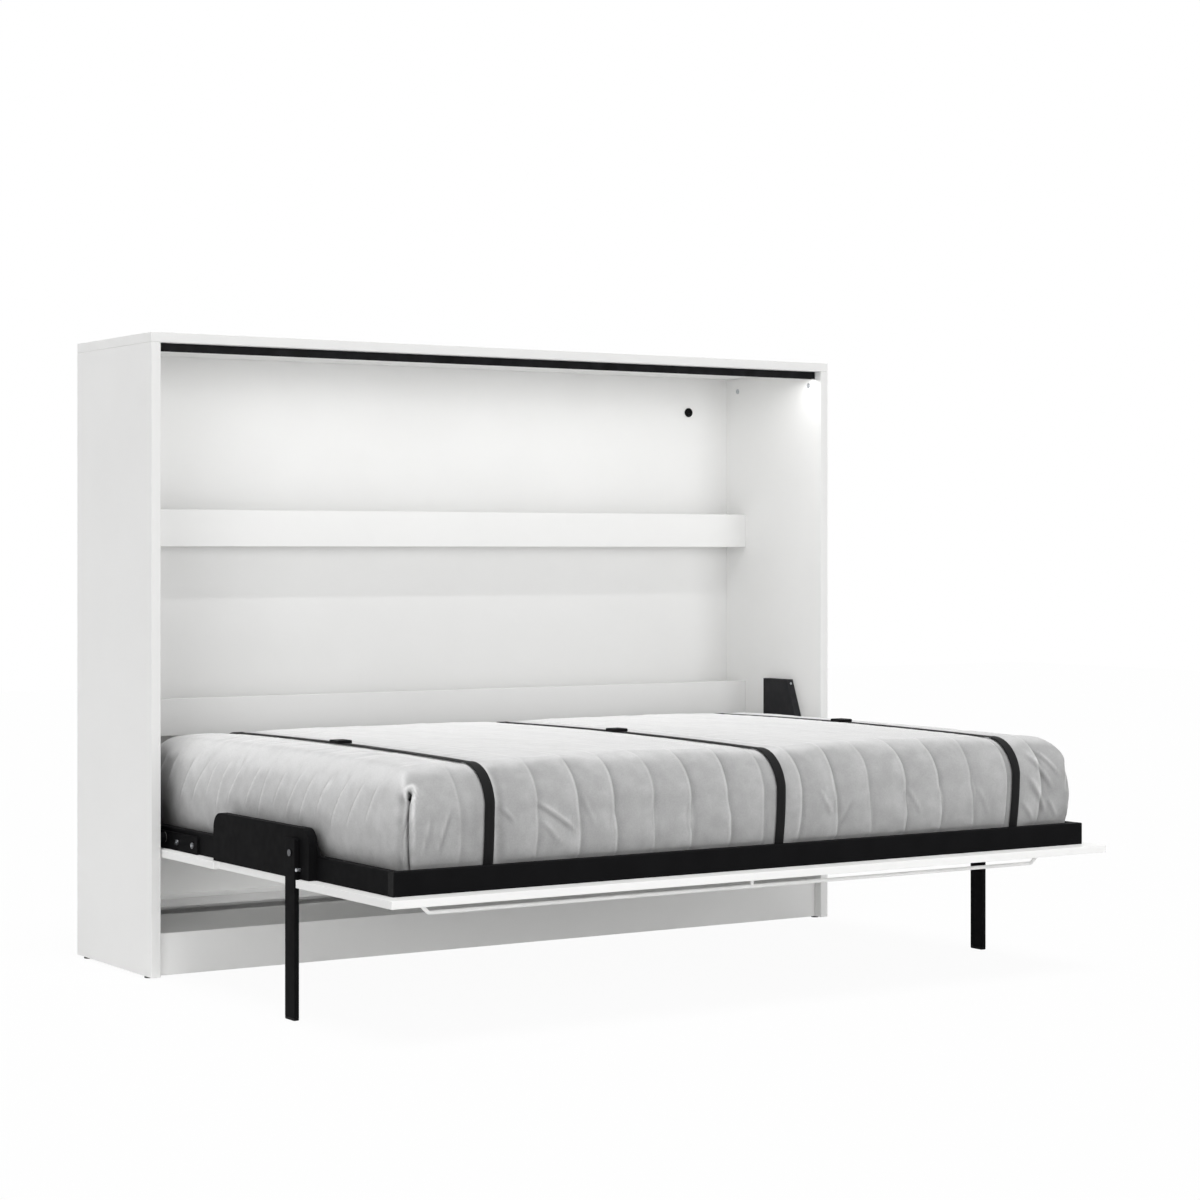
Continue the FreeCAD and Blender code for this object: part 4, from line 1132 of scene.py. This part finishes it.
@dataclass
class Mattress:
    """Mattress in a velour cover with sewn channels, held down by three straps."""

    shop: Workshop
    section: Section
    ridge: Ridge = Ridge()
    corner_seam: CornerSeam = CornerSeam()
    # Sewn ridges across the mattress, read from the front
    seams: tuple[float, ...] = (-825.0, -725.0, -623.0, -514.0, -414.0, -307.0, -206.0, -99.0, 1.0, 105.0,
                                214.0, 322.0, 430.0, 535.0, 642.0, 751.0, 855.0)
    steps_by_seam: tuple[float, ...] = (-38.0, -28.0, -18.0, -10.0, -4.5, 0.0, 4.0, 9.0, 17.0, 27.0, 38.0,
                                        50.0)
    # Folds of the front face: start and end, as places along X and heights, then height and width of the fold
    front_folds: tuple[tuple[Pair, Pair, float, float], ...] = (
        ((-617.0, 158.0), (-520.0, 92.0), 4.2, 11.0), ((-607.0, 116.0), (-555.0, 60.0), 2.6, 13.0),
        ((-714.0, 152.0), (-680.0, 116.0), 2.6, 11.0), ((-490.0, 160.0), (-468.0, 100.0), 2.2, 13.0),
        ((-878.0, 60.0), (-850.0, 150.0), 3.0, 11.0), ((-915.0, 55.0), (-897.0, 140.0), 2.4, 11.0),
        ((170.0, 150.0), (205.0, 85.0), 2.5, 12.0), ((445.0, 140.0), (480.0, 75.0), 2.5, 11.0),
        ((225.0, 60.0), (262.0, 120.0), 2.0, 12.0), ((660.0, 135.0), (700.0, 60.0), 2.0, 12.0),
        ((835.0, 205.0), (905.0, 120.0), 4.5, 12.0), ((868.0, 215.0), (930.0, 150.0), 4.0, 10.0),
        ((830.0, 150.0), (885.0, 60.0), 4.5, 13.0), ((815.0, 90.0), (845.0, 40.0), 3.0, 11.0),
        ((890.0, 95.0), (925.0, 45.0), 3.0, 11.0))
    # Folds of the end faces: places towards the front, the level where they start, the one from which their
    # length is taken, and their width
    end_folds: tuple[float, ...] = (-640.0, -590.0, -520.0, -432.0, -362.0, -290.0, -228.0, -161.0, -62.0,
                                    2.0, 80.0, 152.0, 223.0, 303.0, 381.0, 458.0, 540.0)
    end_fold_levels: Pair = (196.0, 178.0)
    end_fold_width: float = 9.5
    # The right end is stretched more and shows its folds less
    calm_share: float = 0.45
    # Strength of the painted shading of the folds on the front and on the ends, and of the painted light that
    # makes the top and the ends lighter
    fold_shading: Pair = (0.6, 0.8)
    painted_face_light: Pair = (0.75, 0.5)
    # Heights of the cover's soft waves and small ripples, and the share of them that the tight top lacks
    uneven: Pair = (1.1, 0.5)
    tight_share: float = 0.7
    # Share of a normal across a face at which a point begins to belong to that face, and does so wholly
    face_edges: Pair = (0.25, 0.75)
    end_run: float = 62.0
    end_drop: float = 68.0
    end_bulge: float = 12.0
    end_columns: int = 9
    end_gap: float = 8.0
    corner: float = 22.0
    # How far the round corner stays inside the square one, as a share of its radius
    corner_cut: float = 0.293
    # Rows of the grid on the side, the shoulder and the top
    grid_steps: Cell = (15, 10, 104)
    kept_share: float = 0.5
    # The first ridge, beside the open corner, is slack
    slack_share: float = 0.4
    swell_cap: float = 9.0
    top_share: float = 0.3
    frames: int = 20
    held_by_strap: float = 17.0
    cloth_rules: dict[str, Any] = field(default_factory=lambda: {
        "quality": 4, "mass": 0.4, "tension_stiffness": 12.0, "compression_stiffness": 6.0,
        "shear_stiffness": 4.0, "bending_stiffness": 0.4, "shrink_min": -0.02, "use_pressure": True,
        "uniform_pressure_force": 4.0, "vertex_group_mass": "held"})
    press_depth: float = 2.4
    # Distance from a strap's middle at which the cover is free and is pressed, and what a buckle adds above
    # a level
    press_reach: Pair = (46.0, 16.0)
    buckle_reach: float = 34.0
    buckle_extra: float = 7.0
    buckle_level: float = 200.0
    clearance: float = 2.0
    # How far the cover may hang over the rails, and the height over which it comes to that
    overhang: float = 40.0
    overhang_rise: float = 14.0

    def build(self) -> None:
        """Form the mattress, swell it, sew it and press it under its straps."""
        low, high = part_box("mattress")
        self.middle = np.array([(low.x + high.x) / 2, (low.y + high.y) / 2, low.z]) / MM
        self.half_length = (high.x - low.x) / 2 / MM
        self.seam_lines = np.array(self.seams) - self.middle[0]
        self.strap_lines = np.array([strap_middle(name) for name in STRAPS]) - self.middle[0]
        piece = self.shop.new_piece("quilted_mattress", self.lay_out(), "mattress")
        self.swell(piece)
        self.refine(piece)
        self.sew(piece.data)
        self.thin_out(piece)

    def columns(self) -> tuple[Array, Array]:
        """Space the columns along the mattress.

        Returns:
            Their places, and how far the top drops at each.
        """
        places = sorted(seam + step for seam in self.seam_lines for step in self.steps_by_seam)
        straight = self.half_length - self.end_run
        inner = np.array([place for place in places if abs(place) < straight - self.end_gap])
        angle = np.radians(np.linspace(0.0, 90.0, self.end_columns))
        end = straight + self.end_run * np.sin(angle)
        drop = self.end_drop * (1.0 - np.cos(angle))
        place = np.concatenate([-end[::-1], inner, end])
        return place, np.concatenate([drop[::-1], np.zeros(len(inner)), drop])

    def lay_out(self) -> Mesh:
        """Lay out the plain form, open at its foot, as a grid of quads.

        Returns:
            The mesh, in the row frame.
        """
        self.along, self.along_drop = self.columns()
        self.side_line, shoulder, top = self.section.lines(0.0, self.grid_steps)
        rear = shoulder[:-1]
        line = np.concatenate([rear, top, (rear * (-1.0, 1.0))[::-1]])[::-1]
        self.across, self.across_drop = line[:, 0], self.section.height - line[:, 1]
        self.cells: dict[Cell, int] = {}
        faces = [[self.cells.setdefault(cell, len(self.cells)) for cell in quad] for quad in self.quads()]
        points = [tuple((np.array(self.grid_point(*cell)) + self.middle) * MM) for cell in self.cells]
        mesh = bpy.data.meshes.new("quilted_mattress")
        mesh.from_pydata(points, [], faces)
        mesh.shade_smooth()
        return mesh

    def quads(self) -> Iterator[tuple[Cell, Cell, Cell, Cell]]:
        """Go through the faces of the top, the sides and the ends.

        Yields:
            The column, row and level of each corner of a face.
        """
        nx, ny, nz = len(self.along) - 1, len(self.across) - 1, self.grid_steps[0]
        for i in range(nx):
            for j in range(ny):
                yield (i, j, nz), (i + 1, j, nz), (i + 1, j + 1, nz), (i, j + 1, nz)
            for k in range(nz):
                yield (i, 0, k), (i + 1, 0, k), (i + 1, 0, k + 1), (i, 0, k + 1)
                yield (i + 1, ny, k), (i, ny, k), (i, ny, k + 1), (i + 1, ny, k + 1)
        for j in range(ny):
            for k in range(nz):
                yield (0, j + 1, k), (0, j, k), (0, j, k + 1), (0, j + 1, k + 1)
                yield (nx, j, k), (nx, j + 1, k), (nx, j + 1, k + 1), (nx, j, k + 1)

    def grid_point(self, i: int, j: int, k: int) -> Triple:
        """Place a point of the grid on the plain form.

        Args:
            i: Column along the mattress.
            j: Row across it.
            k: Level from its foot.

        Returns:
            The place, from the middle of the foot.
        """
        share = k / self.grid_steps[0]
        top = self.section.height - (self.along_drop[i] ** 3 + self.across_drop[j] ** 3) ** (1 / 3)
        half_y = self.side_line[k][0]
        half_x = self.half_length + self.end_bulge * math.sin(math.pi * share) - 2.0 * (1.0 - share) ** 2
        x = self.along[i] * half_x / self.half_length
        y = self.across[j] * half_y / (self.section.half + self.section.waist)
        over_x = abs(x) - (half_x - self.corner)
        over_y = abs(y) - (half_y - self.corner)
        if over_x > 0.0 and over_y > 0.0:
            reach = max(over_x, over_y) / math.hypot(over_x, over_y)
            x = math.copysign(half_x - self.corner + over_x * reach, x)
            y = math.copysign(half_y - self.corner + over_y * reach, y)
        return (x, y, top * share)

    def strap_distance(self, x: Array) -> Array:
        """Give how far places along the mattress are from the nearest strap's middle."""
        return np.min([np.abs(x - place) for place in self.strap_lines], axis=0)

    def swell(self, piece: Piece) -> None:
        """Blow the cover up a little by cloth simulation, held at its foot, its corners and its straps.

        Args:
            piece: The laid-out mattress, which takes the simulated form.
        """
        nx, ny = len(self.along) - 1, len(self.across) - 1
        near = self.strap_distance(self.along) < self.held_by_strap
        fixed = [number for (i, j, k), number in self.cells.items()
                 if k < 2 or near[i] or (i in (0, nx) and j in (0, ny))]
        piece.vertex_groups.new(name="held").add(fixed, 1.0, "REPLACE")
        cloth = piece.modifiers.new("cover", "CLOTH")
        for rule, value in self.cloth_rules.items():
            setattr(cloth.settings, rule, value)
        cloth.settings.effector_weights.gravity = 0.0
        cloth.collision_settings.use_collision = False
        cloth.point_cache.frame_start = 1
        cloth.point_cache.frame_end = self.frames
        scene = bpy.context.scene
        for step in range(1, self.frames + 1):
            scene.frame_set(step)
        shaped = piece.evaluated_get(bpy.context.evaluated_depsgraph_get())
        before = read(piece.data, "co")
        move = read(shaped.data, "co") - before
        piece.modifiers.remove(cloth)
        scene.frame_set(1)
        move[:, 2] *= self.top_share
        reach = np.linalg.norm(move, axis=1, keepdims=True)
        log.info("cover swells by up to %.1f mm", reach.max() / MM)
        cap = self.swell_cap * MM
        move *= cap * np.tanh(reach / cap) / np.maximum(reach, TINY)
        piece.data.vertices.foreach_set("co", (before + move).ravel())
        piece.vertex_groups.clear()

    def refine(self, piece: Piece) -> None:
        """Divide the mesh once, smoothly, so that it can carry the sewn ridges, and close its foot.

        Args:
            piece: The mattress, which takes the finer mesh.
        """
        divide = piece.modifiers.new("divide", "SUBSURF")
        divide.levels = 1
        divide.render_levels = 1
        settle(piece)
        work = bmesh.new()
        work.from_mesh(piece.data)
        bmesh.ops.holes_fill(work, edges=[edge for edge in work.edges if edge.is_boundary], sides=0)
        bmesh.ops.recalc_face_normals(work, faces=work.faces[:])
        work.to_mesh(piece.data)
        work.free()

    def thin_out(self, piece: Piece) -> None:
        """Take points out where the cover is nearly flat.

        Args:
            piece: The mattress, which takes the lighter mesh.
        """
        piece.modifiers.new("thin", "DECIMATE").ratio = self.kept_share
        settle(piece)
        log.info("mattress has %d faces", len(piece.data.polygons))

    def end_creases(self) -> list[Crease]:
        """Make the folds of the end faces, which slant up to the front.

        Returns:
            The folds, by places towards the front and heights.
        """
        folds = []
        for index, place in enumerate(self.end_folds):
            # Each fold is a little different in length, lean and height
            tall = 72.0 + 16.0 * math.sin(2.3 * index)
            lean = 24.0 + 7.0 * math.cos(1.7 * index)
            height = 4.4 + 1.2 * math.sin(1.1 * index)
            upper, lower = self.end_fold_levels
            folds.append(Crease((place + lean, upper), (place - lean / 2, lower - tall), height,
                                self.end_fold_width))
        return folds

    def sew(self, mesh: Mesh) -> None:
        """Raise sewn ridges and folds with painted light and shade, draw in the corner seam, press under the
        straps.

        Args:
            mesh: The finely divided mattress.
        """
        place = read(mesh, "co") / MM - self.middle
        normal = read(mesh, "normal")
        x, y, z = place.T
        covered = np.where(normal[:, 2] < -0.5, 0.0, 1.0)
        topside = np.clip(normal[:, 2], 0.0, 1.0)
        front = smooth_step(*self.face_edges, -normal[:, 1])
        end = smooth_step(*self.face_edges, np.abs(normal[:, 0]))
        rise, painted_light = self.raise_ridges(place, normal, covered)
        front_creases = [Crease(*fold) for fold in self.front_folds]
        calm = end * np.where(x > 0.0, self.calm_share, 1.0)
        # Each fold's shape, and its painted highlight and shade
        for creases, u, share, fold_shading in ((front_creases, x + self.middle[0], front, self.fold_shading[0]),
                                         (self.end_creases(), -y, calm, self.fold_shading[1])):
            for crease in creases:
                height, pile_and_shading = crease.form(u, z)
                rise += share * height
                painted_light += fold_shading * share * pile_and_shading
        # Painted light: the top, away from the front, and the ends are made lighter
        painted_light += self.painted_face_light[0] * topside * (1.0 - front) + self.painted_face_light[1] * end
        # Soft unevenness of the cover
        wave = np.sin(x / 61.0 + 0.7 * np.sin(y / 83.0)) * np.sin(y / 57.0 + 0.9 * np.sin(x / 71.0))
        ripple = np.sin(x / 23.0 + z / 31.0) * np.sin(y / 27.0 - z / 19.0)
        swelling = self.uneven[0] * wave + self.uneven[1] * ripple
        rise += swelling * (1.0 - self.tight_share * topside) * covered
        place += normal * rise[:, None]
        wide = self.section.half + self.section.bulge
        seam = np.array([-self.half_length, -wide]) + self.corner_cut * self.corner
        gap = self.corner_seam.fold(place, painted_light, seam)
        self.press(place)
        self.keep_clear(place)
        mesh.vertices.foreach_set("co", ((place + self.middle) * MM).ravel())
        # The painted light and shade, and the seam's opening painted near-black as shade, go to the cover's
        # material
        for name, values in (("painted_shading", 0.5 + 0.5 * painted_light), ("gap", gap)):
            mesh.attributes.new(name, "FLOAT", "POINT").data.foreach_set("value", np.clip(values, 0.0, 1.0))
        mesh.update()

    def raise_ridges(self, place: Array, normal: Array, covered: Array) -> tuple[Array, Array]:
        """Raise the sewn ridges, strong on the sides and faint on the top.

        Args:
            place: Places of the mattress's points.
            normal: Normals there.
            covered: Zero on the foot and one elsewhere.

        Returns:
            How far each point rises, and the painted highlight and shade there.
        """
        x, _, z = place.T
        ridge = self.ridge
        facing = np.abs(normal[:, 1])
        ends = np.clip((np.abs(normal[:, 0]) - ridge.end_fade[0]) / ridge.end_fade[1], 0.0, 1.0)
        share = ridge.shares[0] + ridge.shares[1] * smooth_step(*ridge.side_edges, facing)
        share = share * (1.0 - ends) * covered
        share *= ridge.foot_shares[0] + ridge.foot_shares[1] * smooth_step(*ridge.foot_levels, z)
        rise, painted_light = np.zeros(len(x)), np.zeros(len(x))
        for index, seam in enumerate(self.seam_lines):
            # Each ridge sways and stands up in its own way
            sway = ridge.sway * np.sin(z / ridge.sway_length + 1.9 * index) * facing
            vary = (0.85 + 0.25 * math.sin(2.1 * index + 0.4)) * share * (1.0 if index else self.slack_share)
            profile, pile_and_shading = ridge.form(x - seam - sway)
            rise += ridge.height * vary * profile
            painted_light += vary * pile_and_shading
        return rise, painted_light

    def keep_clear(self, place: Array) -> None:
        """Hold the cover off the rails, and its foot flat on the slats.

        Args:
            place: Places of the mattress's points, which are moved.
        """
        place[:, 2] = np.maximum(place[:, 2], 0.0)
        rail_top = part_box("front_rail")[1].z / MM - self.middle[2] + self.clearance
        free = self.overhang * smooth_step(rail_top, rail_top + self.overhang_rise, place[:, 2])
        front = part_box("front_rail")[1].y / MM - self.middle[1] + self.clearance
        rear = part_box("rear_rail")[0].y / MM - self.middle[1] - self.clearance
        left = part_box("left_end_rail")[1].x / MM - self.middle[0] + self.clearance
        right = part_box("right_end_rail")[0].x / MM - self.middle[0] - self.clearance
        place[:, 0] = np.clip(place[:, 0], left - free, right + free)
        place[:, 1] = np.clip(place[:, 1], front - free, rear + free)

    def press(self, place: Array) -> None:
        """Press the cover to just under the straps and buckles.

        Args:
            place: Places of the mattress's points, which are moved.
        """
        ideal = self.section.over(-self.press_depth)
        low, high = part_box("strap_buckles")
        by_buckle = np.abs(place[:, 1] + self.middle[1] - (low.y + high.y) / 2 / MM) < self.buckle_reach
        extra = np.where(by_buckle & (place[:, 2] > self.buckle_level), self.buckle_extra, 0.0)
        hold = smooth_step(*self.press_reach, self.strap_distance(place[:, 0]) - extra)
        for number in np.nonzero((hold > 0.0) & (place[:, 2] > 1.0))[0]:
            spot = place[number, 1:]
            offs = ideal - spot
            nearest = int(np.argmin(np.einsum("ij,ij->i", offs, offs)))
            step = ideal[min(nearest + 1, len(ideal) - 1)] - ideal[max(nearest - 1, 0)]
            outward = np.array([step[1], -step[0]]) / np.linalg.norm(step)
            proud = float((spot - ideal[nearest]) @ outward)
            if proud > 0.0:
                place[number, 1:] -= outward * proud * hold[number]


@dataclass
class WebbingStraps:
    """Three webbing straps over the mattress, their anchor plates and their ladder buckles."""

    shop: Workshop
    section: Section
    width: float = 26.0
    gap: float = 0.3
    thickness: float = 2.2
    tail: float = 17.0
    selvedge: float = 0.8
    # Sideways wander of a strap: how far, and over what length
    wander: tuple[Pair, Pair] = ((0.7, 83.0), (0.4, 31.0))
    sharp_angle: float = 60.0

    def build(self) -> None:
        """Lay the straps and ease their fittings."""
        low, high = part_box("mattress")
        self.middle = np.array([0.0, (low.y + high.y) / 2, low.z]) / MM
        for name in STRAPS:
            self.shop.new_piece(f"{name}_webbing", self.ribbon(name, strap_middle(name)), f"{name}_strap")
        self.shop.ease_all({"strap_anchors": 0.5, "strap_buckles": 0.8})

    def ribbon(self, name: str, place: float) -> Mesh:
        """Make one strap as a thin woven band with rounded selvedges.

        Args:
            name: Which strap.
            place: Its middle along X.

        Returns:
            The mesh, in the row frame.
        """
        drop = np.array([0.0, -self.tail])
        lines = [self.section.over(grow) for grow in (self.gap, self.gap + self.thickness)]
        inner, outer = (np.concatenate([[line[0] + drop], line, [line[-1] + drop]]) for line in lines)
        length = np.concatenate([[0.0], np.cumsum(np.linalg.norm(np.diff(outer, axis=0), axis=1))])
        # Across the band: place from its middle, and share of the way from its inner to its outer face
        half = self.width / 2
        edge = half - self.selvedge
        ring = [(-edge, 0.0), (-half, 0.5), (-edge, 1.0), (-half / 3, 1.0), (half / 3, 1.0), (edge, 1.0),
                (half, 0.5), (edge, 0.0), (0.0, 0.0)]
        work = bmesh.new()
        weave = work.loops.layers.uv.new("weave")
        hoops = []
        for number, run in enumerate(length):
            sway = sum(far * math.sin(run / over + turns * place)
                       for turns, (far, over) in enumerate(self.wander, start=1))
            hoop = []
            for u, share in ring:
                y, z = inner[number] + (outer[number] - inner[number]) * share
                spot = np.array([place + u + sway, y, z]) + self.middle
                hoop.append(work.verts.new(spot * MM))
            hoops.append(hoop)
        flat = {point: (u * MM, length[row] * MM) for row, hoop in enumerate(hoops)
                for point, (u, _) in zip(hoop, ring)}
        for face in loft(work, hoops):
            for loop in face.loops:
                loop[weave].uv = flat[loop.vert]
        mesh = bpy.data.meshes.new(f"{name}_webbing")
        work.to_mesh(mesh)
        work.free()
        mesh.shade_smooth()
        mesh.set_sharp_from_angle(angle=math.radians(self.sharp_angle))
        return mesh


@dataclass
class Studio:
    """Pale floor, soft light and the camera."""

    camera_place: Triple = (-3.8275, -5.9605, 1.065)
    camera_turn: float = -32.98
    lens: float = 82.23
    sensor: float = 36.0
    shift_y: float = -0.0405
    floor_half: float = 14.0
    floor_colour: str = "#E4E4E4"
    # How much of the floor's seen colour is plain white, so that the rest can take a shadow
    floor_white: float = 0.95
    world_light: float = 0.41
    # Wide soft lights: the way each shines, its strength and its width in degrees
    lights: dict[str, tuple[Triple, float, float]] = field(default_factory=lambda: {
        "high_light": ((0.10, 0.22, -0.97), 2.1, 30.0),
        "left_light": ((0.66, 0.74, -0.10), 0.58, 24.0),
        "front_light": ((-0.14, 0.98, -0.10), 0.46, 16.0)})
    strip_strength: float = 2.0
    strip_margin: float = 0.02
    strip_gap: float = 0.004
    strip_tilt: float = 4.0

    def build(self) -> None:
        """Set up floor, world, lamps and camera."""
        bpy.context.scene.view_settings.view_transform = "Standard"
        self.lay_floor()
        self.light_world()
        self.hang_lights()
        self.light_strip()
        self.aim_camera()

    def lay_floor(self) -> None:
        """Lay a plain pale floor that looks white to the camera and still takes a shadow."""
        mesh = bpy.data.meshes.new("studio_floor")
        half = self.floor_half
        mesh.from_pydata([(-half, -half, 0.0), (half, -half, 0.0), (half, half, 0.0), (-half, half, 0.0)], [],
                         [(0, 1, 2, 3)])
        floor = stand("studio_floor", mesh)
        material = bpy.data.materials.new("matt_white_floor")
        tree = bare_tree(material)
        plain = add(tree, "BsdfDiffuse", {"Color": linear(self.floor_colour)})
        glow = add(tree, "Emission", {"Color": WHITE, "Strength": 1.0})
        share = add(tree, "Math", {0: self.seen_directly(tree), 1: self.floor_white}, operation="MULTIPLY")
        mixed = add(tree, "MixShader", {0: share.outputs["Value"], 1: plain.outputs["BSDF"],
                                        2: glow.outputs["Emission"]})
        add(tree, "OutputMaterial", {"Surface": mixed.outputs["Shader"]})
        mesh.materials.append(material)

    def seen_directly(self, tree: Tree) -> Socket:
        """Tell what the camera sees, straight, in a gloss or through glass, from what only gives light.

        Args:
            tree: Node tree that takes the nodes.

        Returns:
            One where it is seen and zero elsewhere.
        """
        path = add(tree, "LightPath").outputs
        seen = path["Is Camera Ray"]
        glossy, through = path["Is Glossy Ray"], path["Is Transmission Ray"]
        mirrored = add(tree, "Math", {0: glossy, 1: through}, operation="MAXIMUM").outputs["Value"]
        return add(tree, "Math", {0: seen, 1: mirrored}, operation="MAXIMUM").outputs["Value"]

    def light_world(self) -> None:
        """Light the object evenly from all round, and show white behind it."""
        world = bpy.data.worlds.new("white_surround")
        bpy.context.scene.world = world
        tree = bare_tree(world)
        level = add(tree, "MapRange", {"Value": self.seen_directly(tree), "To Min": self.world_light,
                                       "To Max": 1.0})
        glow = add(tree, "Background", {"Color": WHITE, "Strength": level.outputs["Result"]})
        add(tree, "OutputWorld", {"Surface": glow.outputs["Background"]})

    def hang_lights(self) -> None:
        """Hang one wide soft light high up and two low ones, at the left and in front."""
        for name, (way, strength, width) in self.lights.items():
            light = bpy.data.lights.new(name, "SUN")
            light.energy = strength
            light.angle = math.radians(width)
            stand(name, light, turn=Vector(way).to_track_quat("-Z", "Y").to_euler())

    def light_strip(self) -> None:
        """Light the cabinet from the strip under its top board, along the diffuser."""
        low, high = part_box("lamp_diffuser")
        strip = bpy.data.lights.new("strip_light", "AREA")
        strip.shape = "RECTANGLE"
        strip.size = high.x - low.x - self.strip_margin
        strip.size_y = high.y - low.y
        strip.energy = self.strip_strength
        stand("strip_light", strip, (0.0, (low.y + high.y) / 2, low.z - self.strip_gap),
              (math.radians(self.strip_tilt), 0.0, 0.0))

    def aim_camera(self) -> None:
        """Stand the camera where the photograph was taken from."""
        lens = bpy.data.cameras.new("camera")
        lens.sensor_width = self.sensor
        lens.lens = self.lens
        lens.shift_y = self.shift_y
        bpy.context.scene.camera = stand("camera", lens, self.camera_place,
                                         (math.radians(90.0), 0.0, math.radians(self.camera_turn)))


def main() -> None:
    """Build the scene in order."""
    logging.basicConfig(level=logging.INFO, format="%(name)s: %(message)s")
    for leftover in list(bpy.data.objects):
        bpy.data.objects.remove(leftover)
    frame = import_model()
    shop = Workshop(frame, Finishes())
    section = Section()
    for assembly in (Studio(), Carcass(shop), Mechanism(shop), BedFrame(shop), FoldingLegs(shop),
                     PullBar(shop), Mattress(shop, section), WebbingStraps(shop, section)):
        assembly.build()


if __name__ == "__main__":
    main()
